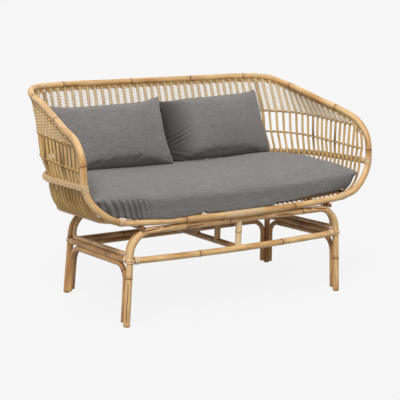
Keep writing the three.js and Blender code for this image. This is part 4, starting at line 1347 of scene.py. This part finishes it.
def fan_loft(first, rings, last):
    """Points and faces of a closed form of stacked rings with a point at each end"""
    count = len(rings[0])
    points = np.vstack([[first], *rings, [last]])
    faces = []
    for k in range(count):
        after = (k + 1) % count
        faces.append((0, 1 + after, 1 + k))
        for r in range(len(rings) - 1):
            low, high = 1 + r * count, 1 + (r + 1) * count
            faces.append((low + k, low + after, high + after, high + k))
        low = 1 + (len(rings) - 1) * count
        faces.append((low + k, low + after, len(points) - 1))
    return points, faces


def seat_cushion_form():
    rings = []
    for side_inset, front_inset, rise in CUSHION_SIDE_RINGS:
        ring = cushion_outline(side_inset, front_inset)
        ring[:, 2] = mix(cushion_floor(ring), cushion_top(ring), rise)
        rings.append(ring)
    for inset, crown in CUSHION_TOP_RINGS:
        ring = cushion_outline(inset, inset)
        ring[:, 2] = cushion_top(ring) + CUSHION_CROWN * crown
        rings.append(ring)
    middle = at(0, (CUSHION_FRONT + CUSHION.back) / 2, 0)
    low, high = middle.copy(), middle.copy()
    low[2] = cushion_floor(middle[None])[0]
    high[2] = cushion_top(middle[None])[0] + CUSHION_CROWN
    return fan_loft(low, rings, high)


PILLOWS = {"left": (-1, 530, math.radians(4)), "right": (1, 580, math.radians(8.5))}
PILLOW_HEIGHT = 300
PILLOW_THICKNESS = 150
PILLOW_GAP = 14
PILLOW_MEETING = -65
PILLOW_LEAN = math.radians(25)
PILLOW_DRAW = 0.02
PILLOW_SWELL = 0.45
PILLOW_FOOT_DEPTH = RIM_FRONT + 427
PILLOW_FOOT_HEIGHT = SEAT_RAIL + RIM_RADIUS + CUSHION_HEIGHT + CUSHION_CROWN - 6
PILLOW_GRID = (44, 26)


def pillow_place(turn, across, upward, out):
    """A place on a pillow, measured from where the two meet, in base millimetres"""
    sin, cos = math.sin(PILLOW_LEAN), math.cos(PILLOW_LEAN)
    back = upward * sin - out * cos
    return np.stack(
        [
            PILLOW_MEETING + across * math.cos(turn) - back * math.sin(turn),
            PILLOW_FOOT_DEPTH + across * math.sin(turn) + back * math.cos(turn),
            PILLOW_FOOT_HEIGHT + upward * cos + out * sin,
        ],
        -1,
    )


def pillow_form(side, width, turn):
    """Two grids that share their edge"""
    columns, rows = PILLOW_GRID
    u, v = np.meshgrid(np.linspace(-1, 1, columns + 1), np.linspace(-1, 1, rows + 1))
    across = side * PILLOW_GAP / 2 + width / 2 * (side + u * (1 - PILLOW_DRAW * (1 - v * v)))
    upward = PILLOW_HEIGHT / 2 * (1 + v * (1 - PILLOW_DRAW * (1 - u * u)))
    swell = np.clip((1 - u * u) * (1 - v * v), 0, 1) ** PILLOW_SWELL * PILLOW_THICKNESS / 2
    front = pillow_place(turn, across, upward, swell).reshape(-1, 3)
    behind = pillow_place(turn, across, upward, -swell).reshape(-1, 3)
    edge = (np.abs(u) == 1) | (np.abs(v) == 1)
    index = np.arange((columns + 1) * (rows + 1)).reshape(rows + 1, columns + 1)
    back_index = index.copy()
    back_index[~edge] = len(front) + np.arange((~edge).sum())
    points = np.vstack([front, behind[(~edge).ravel()]])
    faces = []
    for r in range(rows):
        for c in range(columns):
            corners = ((r, c), (r, c + 1), (r + 1, c + 1), (r + 1, c))
            faces.append(tuple(int(index[p]) for p in corners))
            faces.append(tuple(int(back_index[p]) for p in reversed(corners)))
    return points, faces


def coordinates(obj, field="co"):
    found = np.empty(len(obj.data.vertices) * 3)
    obj.data.vertices.foreach_get(field, found)
    return found.reshape(-1, 3)


def set_coordinates(obj, points):
    obj.data.vertices.foreach_set("co", np.asarray(points, float).ravel())
    obj.data.update()


def applied(obj, modifier_name):
    with bpy.context.temp_override(object=obj, active_object=obj, selected_objects=[obj]):
        bpy.ops.object.modifier_apply(modifier=modifier_name)


STUFFING = {
    "quality": 5,
    "mass": 0.3,
    "tension_stiffness": 18,
    "compression_stiffness": 18,
    "shear_stiffness": 8,
    "bending_stiffness": 0.6,
    "use_pressure": True,
}
STUFFING_FRAMES = 20
SEAT_VOXEL, SEAT_PRESSURE, SEAT_CAP = 0.01, 3, 0.008
PILLOW_VOXEL, PILLOW_PRESSURE, PILLOW_CAP = 0.0065, 3.5, 0.01


def inflate(obj, voxel, pressure, cap):
    """Remeshes a closed form evenly, then lets it swell as stuffed cloth by no more than the cap"""
    remesh = obj.modifiers.new("even", "REMESH")
    remesh.mode = "VOXEL"
    remesh.voxel_size = voxel
    applied(obj, "even")
    start = coordinates(obj)
    scene = bpy.context.scene
    scene.frame_set(1)
    cloth = obj.modifiers.new("stuffing", "CLOTH")
    settings = cloth.settings
    for name, value in STUFFING.items():
        setattr(settings, name, value)
    settings.uniform_pressure_force = pressure
    settings.effector_weights.gravity = 0
    cloth.collision_settings.use_collision = False
    cloth.point_cache.frame_start, cloth.point_cache.frame_end = 1, STUFFING_FRAMES
    for number in range(1, STUFFING_FRAMES + 1):
        scene.frame_set(number)
    graph = bpy.context.evaluated_depsgraph_get()
    swollen = coordinates(obj.evaluated_get(graph))
    obj.modifiers.remove(cloth)
    scene.frame_set(1)
    moved = swollen - start
    size = np.linalg.norm(moved, axis=1)
    moved *= (np.minimum(size, cap) / np.maximum(size, 1e-9))[:, None]
    set_coordinates(obj, start + moved)


def refine(obj):
    smooth = obj.modifiers.new("smooth", "SUBSURF")
    smooth.levels = smooth.render_levels = 1
    applied(obj, "smooth")


def finish_soft(obj, body, node, shade):
    obj.data.polygons.foreach_set("use_smooth", np.ones(len(obj.data.polygons), bool))
    give(obj, "mark", "FLOAT", "value", shade)
    give(obj, "grain", "FLOAT_VECTOR", "vector", coordinates(obj))
    obj.data.materials.clear()
    obj.data.materials.append(CLOTH)
    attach(obj, body)
    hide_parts(node)


def ease(value, low, high):
    t = np.clip((value - low) / (high - low), 0, 1)
    return t * t * (3 - 2 * t)


def window(value, low, full, falling, end):
    """Rises from 0 to 1 between the first two values, and falls back between the last two"""
    return ease(value, low, full) * (1 - ease(value, falling, end))


# Gathers on the seat cover's front: pitch, slant and height, and the run along the front from start to end
GATHER_PITCH, GATHER_SLANT, GATHER_HEIGHT = 23, 0.5, 7
GATHER_RUN = (395, 470, 600, 640)
GATHER_SHADE = 0.6
FINE_PITCH, FINE_SLANT, FINE_HEIGHT, PLAIN_SHARE = 16, 0.18, 2.4, 0.35
FINE_RUN = (380, 520, 610, 640)
FRONT_BAND = (424, 440, 488, 512)
FRONT_FACE = (26, 60)
TOP_DENT = 1.6
TOP_FACE = (486, 500)
SEAM_GROOVE, SEAM_WIDTH = 3.5, 3.2
SEAM_END = (-186, -150)
# The front corners: ears that stick out, and a blunt, full edge
EAR_OUT, EAR_FORWARD, EAR_REACH, EAR_HALF_HEIGHT, LEFT_EAR_SHARE = 15, 30, 56, 17, 0.7
CORNER_OUT, BLUNT_OUT = 7, 12
BLUNT_END = (-190, -165)
# The front edge comes forward beside the corners and at the left, and hangs before the deck's cane ends
LEFT_FORWARD, LEFT_FORWARD_RUN = 21, (170, 400)
SIDE_FORWARD, SIDE_FORWARD_RUN = (27, 21), (0.56, 0.84)
HANG_FORWARD, LEFT_HANG_FORWARD, HANG_DROP, HANG_DEPTH = 5, 5, 24, 26
HANG_START = (-640, -590)
HANG_FALLS = ((0.55, 150, 330), (0.45, 420, 560))
HANG_RANGE = (8, 34)
RAIL_ROOM = 1.5
RAIL_SPREADS = np.linspace(-600, 600, 61)
RAIL_LINE = np.array([rail_under(spread)[1:] for spread in RAIL_SPREADS]).T
RING_BACK = deck_line(0)[1][1]
DECK_ENDS = [min(max(spread, -DECK_HALF_WIDTH), DECK_HALF_WIDTH) for spread in RAIL_SPREADS]
DECK_LEVELS = np.array([[deck_height(x, y) for y in (RIM_FRONT, RING_BACK)] for x in DECK_ENDS]).T


def gathers(x, z, on_front):
    """Folds that fan out from under the left arm, with finer ones at the right: heights and shade"""
    draw = 2 * math.pi * (x + GATHER_SLANT * z) / GATHER_PITCH
    draw = np.sin(draw + 1.1 * np.sin(x / 37) + 0.8 * np.sin(z / 21))
    crest = np.clip(draw, 0, 1) ** 1.6
    folds = (crest - 0.3 * np.clip(-draw, 0, 1)) * (0.65 + 0.35 * np.sin(x / 11 + 2))
    left = window(-x, *GATHER_RUN) * on_front
    band = window(z, *FRONT_BAND)
    fine = 2 * math.pi * (x - FINE_SLANT * z) / FINE_PITCH
    fine = np.sin(fine + 1.7 * np.sin(x / 29) + 0.6 * np.sin(z / 13))
    right = window(x, *FINE_RUN) * on_front
    plain = PLAIN_SHARE * on_front * (1 - left) * (1 - right)
    heights = band * (GATHER_HEIGHT * folds * left + FINE_HEIGHT * fine * right + plain * fine)
    seam = np.exp(-(((np.abs(x) - SEAM_SPREAD) / SEAM_WIDTH) ** 2))
    return heights, band * seam, GATHER_SHADE * left * band * np.clip(0.4 - draw, 0, 1)


def hang_front(moved, x, y, z):
    """Lets the front edge hang before the deck's cane ends, clear of the rail and the canes"""
    rail = np.array([np.interp(x, RAIL_SPREADS, values) for values in RAIL_LINE])
    deck_front, deck_back = (np.interp(x, RAIL_SPREADS, values) for values in DECK_LEVELS)
    floor = mix(deck_front, deck_back, (y - RIM_FRONT) / (RING_BACK - RIM_FRONT)) + CANE_RADIUS + 1
    before = moved[:, 1] - rail[0]
    lower = np.clip((FRONT_HANG_TOP - z) / HANG_DEPTH, 0, 1)
    room = ease(x, *HANG_START) * (1 - sum(share * ease(x, low, high) for share, low, high in HANG_FALLS))
    hang = lower * room * (1 - ease(before, *HANG_RANGE))
    moved[:, 1] -= (HANG_FORWARD + LEFT_HANG_FORWARD * ease(-x, *LEFT_FORWARD_RUN)) * hang
    moved[:, 2] -= HANG_DROP * hang
    before = moved[:, 1] - rail[0]
    over_rail = rail[1] + np.sqrt(np.clip((RIM_RADIUS + RAIL_ROOM) ** 2 - before**2, 0, None))
    moved[:, 2] = np.maximum(moved[:, 2], np.where(before < -2 * RAIL_ROOM, over_rail, floor))


def dressed_seat(points, normals):
    """The front edge hangs over the rail, the front corners end in ears, and the cover gathers beside them"""
    x, y, z = points.T
    side = np.sign(x)
    u = np.abs(x) / CUSHION.half_width
    behind_front = y - CUSHION_END + CUSHION_FRONT_BOW * (1 - np.minimum(u, 1) ** 3)
    on_front = 1 - ease(behind_front, *FRONT_FACE)
    forward = LEFT_FORWARD * ease(-x, *LEFT_FORWARD_RUN)
    forward += mix(*SIDE_FORWARD, ease(-x, 0, 1)) * ease(u, *SIDE_FORWARD_RUN)
    push = forward * (1 - ease(behind_front, 26, 90))

    heights, seam, shade = gathers(x, z, on_front)
    on_top = ease(z, *TOP_FACE)
    heights += on_top * TOP_DENT * np.sin(x / 83 + 0.9 * np.sin(y / 61)) * np.sin(y / 47 + x / 300)
    heights -= SEAM_GROOVE * seam * (1 - ease(y, *SEAM_END))
    moved = points + normals * heights[:, None]

    gap = np.hypot(np.abs(x) - CORNER_SPREAD, y - CORNER_DEPTH)
    ear = np.clip(1 - gap / EAR_REACH, 0, 1) ** 1.3 * np.exp(-(((z - CORNER_HEIGHT) / EAR_HALF_HEIGHT) ** 2))
    ear *= np.where(side > 0, 1.0, LEFT_EAR_SHARE)
    blunt = (1 - ease(gap, 30, 80)) * (1 - on_top) * (1 - ease(y, *BLUNT_END))
    moved[:, 0] += side * (EAR_OUT * ear + CORNER_OUT * (1 - ease(gap, 30, 120)) + BLUNT_OUT * blunt)
    moved[:, 1] -= EAR_FORWARD * ear + push
    hang_front(moved, x, y, z)
    return moved, shade


def to_base(points):
    """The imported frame's metres to base millimetres"""
    return points * 1000 - (0, DEPTH_SHIFT, 0)


seat_points, seat_faces = seat_cushion_form()
seat = object_of("seat_cushion_cover", to_frame(seat_points), seat_faces)
inflate(seat, SEAT_VOXEL, SEAT_PRESSURE, SEAT_CAP)
refine(seat)
dressed, shade = dressed_seat(to_base(coordinates(seat)), coordinates(seat, "normal"))
set_coordinates(seat, to_frame(dressed))
finish_soft(seat, "seat", "seat_cushion", shade)

seat_faces = [tuple(face.vertices) for face in seat.data.polygons]
seat_tree = BVHTree.FromPolygons([tuple(p) for p in coordinates(seat)], seat_faces)


def seat_under(point):
    """The seat cushion's height under a point, in metres"""
    hit, _, _, _ = seat_tree.ray_cast(Vector((point[0], point[1], 0.9)), Vector((0, 0, -1)))
    return hit.z if hit else None


PILLOW_CLEARANCE = 0.0015


def rest_on_seat(obj):
    """Keeps a pillow above the seat cushion"""
    points = coordinates(obj)
    for k in np.nonzero(points[:, 2] < 0.62)[0]:
        height = seat_under(points[k])
        if height:
            points[k, 2] = max(points[k, 2], height + PILLOW_CLEARANCE)
    set_coordinates(obj, points)


PILLOW_SAG = 7
PILLOW_SHADE, SHADE_RUN = 0.9, (0.46, 0.96)
LOWER_SHADE, LOWER_RUN = 0.2, (0.55, 1)
CONTACT_SHADE, CONTACT_RUN = 0.95, (0.93, 0.985)
PILLOW_TUCK = 46
PILLOW_OVERHANG = 18
PILLOW_REACH = 5
PILLOW_SPREAD = {-1: 14, 1: 2}
CORNER_DRAW = 4
DENT_HEIGHT = 2.2
PUCKER_HEIGHT, PUCKER_PITCH = 0.8, 21
BASE_FOLD_HEIGHT, BASE_FOLD = 1.5, (-132, 0.06, 26, 170, 22)
EDGE_FALL_LIMIT = 0.03
# Folds on each pillow: height, the edge they start from and how far in, the place upward,
# slope, pitch, reach and fall
PILLOW_FOLDS = {
    1: ((5.5, -1, 42, -38, 0.34, 19, 44, 34), (3.5, -1, 60, -118, -0.5, 24, 60, 26)),
    -1: ((1.1, 1, 52, -112, -0.45, 17, 60, 24), (1.2, -1, 70, 122, 0.3, 22, 60, 20)),
}


def pillow_shares(turn, points):
    """The way back from pillow_place: across, upward and out, in millimetres"""
    sin, cos = math.sin(PILLOW_LEAN), math.cos(PILLOW_LEAN)
    x, y = points[:, 0] - PILLOW_MEETING, points[:, 1] - PILLOW_FOOT_DEPTH
    z = points[:, 2] - PILLOW_FOOT_HEIGHT
    across = x * math.cos(turn) + y * math.sin(turn)
    back = y * math.cos(turn) - x * math.sin(turn)
    return across, z * cos + back * sin, z * sin - back * cos


def ridges(u, v, at_u, at_v, slope, pitch, reach, fall):
    """Short folds side by side that fade from a place on a pillow; u, v and the rest in millimetres"""
    down = (v - at_v) - slope * (u - at_u)
    wave = np.maximum(np.sin(2 * math.pi * down / pitch), -0.4)
    return wave * np.exp(-(((u - at_u) / reach) ** 2)) * np.exp(-((down / fall) ** 2))


def dressed_pillow(side, width, turn, points):
    """Corners drawn out, edges that hang, folds, and the meeting edges one before the other"""
    across, upward, out = pillow_shares(turn, points)
    middle = side * (PILLOW_GAP + width) / 2
    u = (across - middle) / np.abs(across - middle).max()
    v = (upward - upward.min()) / np.ptp(upward) * 2 - 1
    inner = -side * u
    swollen = out / (PILLOW_THICKNESS / 2)

    corners = np.clip(np.abs(u) - 0.72, 0, 1) / 0.28 * np.clip(np.abs(v) - 0.6, 0, 1) / 0.4
    edge_sag = PILLOW_SAG * (1 - u**4) * np.abs(v) ** 3
    across = middle + width / 2 * u * (1 - 0.022 * (1 - v * v)) + np.sign(u) * CORNER_DRAW * corners
    upward = PILLOW_HEIGHT / 2 * (1 + v) - np.sign(v) * edge_sag + np.sign(v) * CORNER_DRAW * corners

    front = np.clip(swollen * 3, 0, 1)
    wide, tall = u * width / 2, v * PILLOW_HEIGHT / 2
    dents = DENT_HEIGHT * np.sin(wide / 67 + side) * np.sin(tall / 43 + 0.7 * side)
    for height, edge, inset, *shape in PILLOW_FOLDS[side]:
        dents += height * ridges(wide, tall, edge * (width / 2 - inset), *shape)
    dents += BASE_FOLD_HEIGHT * ridges(wide, tall, 40 * side, *BASE_FOLD)
    puckers = np.sin(2 * math.pi * wide / PUCKER_PITCH + 1.3 * np.sin(wide / 31))
    dents += PUCKER_HEIGHT * puckers * (np.clip(np.abs(v) - 0.72, 0, 1) / 0.28)
    out = out + dents * front
    tuck = PILLOW_TUCK if side > 0 else -PILLOW_OVERHANG
    out = out - tuck * ease(inner, 0.35 if side > 0 else 0.72, 1.0)
    across = across - side * PILLOW_REACH * ease(inner, 0.8, 1.0)
    across = across + side * PILLOW_SPREAD[side] * ease(-inner, 0.6, 1.0)
    shade = PILLOW_SHADE * ease(inner, *SHADE_RUN) * (side > 0) + LOWER_SHADE * ease(-v, *LOWER_RUN)
    shade = np.maximum(shade * front, CONTACT_SHADE * ease(-v, *CONTACT_RUN))
    return pillow_place(turn, across, upward, out), shade


def drop_edge(obj, width, turn, middle):
    """Lets the bottom edge down to the seat cushion, however far it stands over it at each place"""
    points = coordinates(obj)
    across, upward, _ = pillow_shares(turn, to_base(points))
    places = np.linspace(-0.98, 0.98, 36) * width / 2 + middle
    falls = []
    for place in places:
        near = np.nonzero(np.abs(across - place) < width / 50)[0]
        low = points[near[np.argmin(points[near, 2])]]
        height = seat_under(low)
        falls.append(max(0.0, low[2] - height - 0.002) if height else 0.0)
    share = 1 - ease(upward, 0, 0.45 * PILLOW_HEIGHT)
    points[:, 2] -= np.interp(across, places, np.minimum(falls, EDGE_FALL_LIMIT)) * share
    set_coordinates(obj, points)


for side_word, (side, width, turn) in PILLOWS.items():
    pillow_points, pillow_faces = pillow_form(side, width, turn)
    pillow = object_of(f"{side_word}_pillow_cover", to_frame(pillow_points), pillow_faces)
    inflate(pillow, PILLOW_VOXEL, PILLOW_PRESSURE, PILLOW_CAP)
    refine(pillow)
    dressed, shade = dressed_pillow(side, width, turn, to_base(coordinates(pillow)))
    set_coordinates(pillow, to_frame(dressed))
    drop_edge(pillow, width, turn, side * (PILLOW_GAP + width) / 2)
    rest_on_seat(pillow)
    finish_soft(pillow, f"pillow_{side_word}", f"{side_word}_pillow", shade)


# Camera, floor and light
CAMERA_AZIMUTH = -0.58654
CAMERA_ELEVATION = 0.22415
CAMERA_ROLL = 0.03345
CAMERA_PLACE = (-2.72612, -4.15106, 1.51071)
CAMERA_FOCAL_SHARE = 2.997975
CAMERA_SENSOR = 36
BACKGROUND = (246, 246, 246)
SKY_COLOUR = (1, 0.985, 0.965, 1)
AMBIENT = 0.55
FLOOR_HALF = 60
FLOOR_HEIGHT = -0.0004
FLOOR_BOUNCE = (0.3, 0.3, 0.3, 1)
FLOOR_LIT = (0.9, 0.9, 0.9, 1)
FLOOR_WHITE_SHARE = 0.95
SUN_AZIMUTH = -46
SUN_HEIGHT = 54
SUN_STRENGTH = 2.15
SUN_SPREAD = 30
SUN_COLOUR = (1, 0.985, 0.96)


def make_camera():
    cos_up = math.cos(CAMERA_ELEVATION)
    back = Vector(
        (math.sin(CAMERA_AZIMUTH) * cos_up, -math.cos(CAMERA_AZIMUTH) * cos_up, math.sin(CAMERA_ELEVATION))
    )
    right = (-back).cross(Vector((0, 0, 1))).normalized()
    up = right.cross(-back)
    turned_right = math.cos(CAMERA_ROLL) * right + math.sin(CAMERA_ROLL) * up
    turned_up = -math.sin(CAMERA_ROLL) * right + math.cos(CAMERA_ROLL) * up
    data = bpy.data.cameras.new("camera")
    data.sensor_width = CAMERA_SENSOR
    data.lens = CAMERA_FOCAL_SHARE * CAMERA_SENSOR
    data.clip_start, data.clip_end = 0.05, 200
    camera = bpy.data.objects.new("camera", data)
    bpy.context.scene.collection.objects.link(camera)
    turn = Matrix((turned_right, turned_up, back)).transposed().to_4x4()
    camera.matrix_world = Matrix.Translation(CAMERA_PLACE) @ turn
    bpy.context.scene.camera = camera


def seen_ray(tree):
    """1 for rays that reach the eye straight, by gloss or through glass, else 0"""
    path = tree.nodes.new("ShaderNodeLightPath")
    total = path.outputs["Is Camera Ray"]
    for name in ("Is Glossy Ray", "Is Transmission Ray"):
        add = tree.nodes.new("ShaderNodeMath")
        add.operation = "MAXIMUM"
        tree.links.new(total, add.inputs[0])
        tree.links.new(path.outputs[name], add.inputs[1])
        total = add.outputs[0]
    return total


def cleared_tree(owner):
    owner.use_nodes = True
    owner.node_tree.nodes.clear()
    return owner.node_tree


def coloured(tree, kind, colour, strength=None):
    made = tree.nodes.new(kind)
    made.inputs["Color"].default_value = colour
    if strength is not None:
        made.inputs["Strength"].default_value = strength
    return made.outputs[0]


def mixed(tree, share, first, second):
    made = tree.nodes.new("ShaderNodeMixShader")
    if isinstance(share, float):
        made.inputs["Fac"].default_value = share
    else:
        tree.links.new(share, made.inputs["Fac"])
    tree.links.new(first, made.inputs[1])
    tree.links.new(second, made.inputs[2])
    return made.outputs[0]


def show(tree, kind, shader):
    tree.links.new(shader, tree.nodes.new(kind).inputs["Surface"])


def make_world():
    world = bpy.data.worlds.new("studio")
    bpy.context.scene.world = world
    tree = cleared_tree(world)
    soft = coloured(tree, "ShaderNodeBackground", SKY_COLOUR, AMBIENT)
    pale = coloured(tree, "ShaderNodeBackground", linear(*BACKGROUND), 1)
    show(tree, "ShaderNodeOutputWorld", mixed(tree, seen_ray(tree), soft, pale))


def make_floor():
    near, far = -FLOOR_HALF, FLOOR_HALF
    outline = ((near, near), (far, near), (far, far), (near, far))
    floor = object_of("floor", [(*corner, FLOOR_HEIGHT) for corner in outline], [(0, 1, 2, 3)])
    material = bpy.data.materials.new("floor")
    tree = cleared_tree(material)
    grey = coloured(tree, "ShaderNodeBsdfDiffuse", FLOOR_BOUNCE)
    pale = coloured(tree, "ShaderNodeEmission", linear(*BACKGROUND), 1)
    lit = coloured(tree, "ShaderNodeBsdfDiffuse", FLOOR_LIT)
    seen = mixed(tree, FLOOR_WHITE_SHARE, lit, pale)
    show(tree, "ShaderNodeOutputMaterial", mixed(tree, seen_ray(tree), grey, seen))
    floor.data.materials.append(material)


def make_sun():
    data = bpy.data.lights.new("sun", "SUN")
    data.energy = SUN_STRENGTH
    data.angle = math.radians(SUN_SPREAD)
    data.color = SUN_COLOUR
    sun = bpy.data.objects.new("sun", data)
    bpy.context.scene.collection.objects.link(sun)
    a, e = math.radians(SUN_AZIMUTH), math.radians(SUN_HEIGHT)
    towards = Vector((math.sin(a) * math.cos(e), -math.cos(a) * math.cos(e), math.sin(e)))
    sun.rotation_euler = towards.to_track_quat("Z", "Y").to_euler()


make_camera()
make_world()
make_floor()
make_sun()
bpy.context.scene.view_settings.view_transform = "Standard"

bpy.context.view_layer.update()
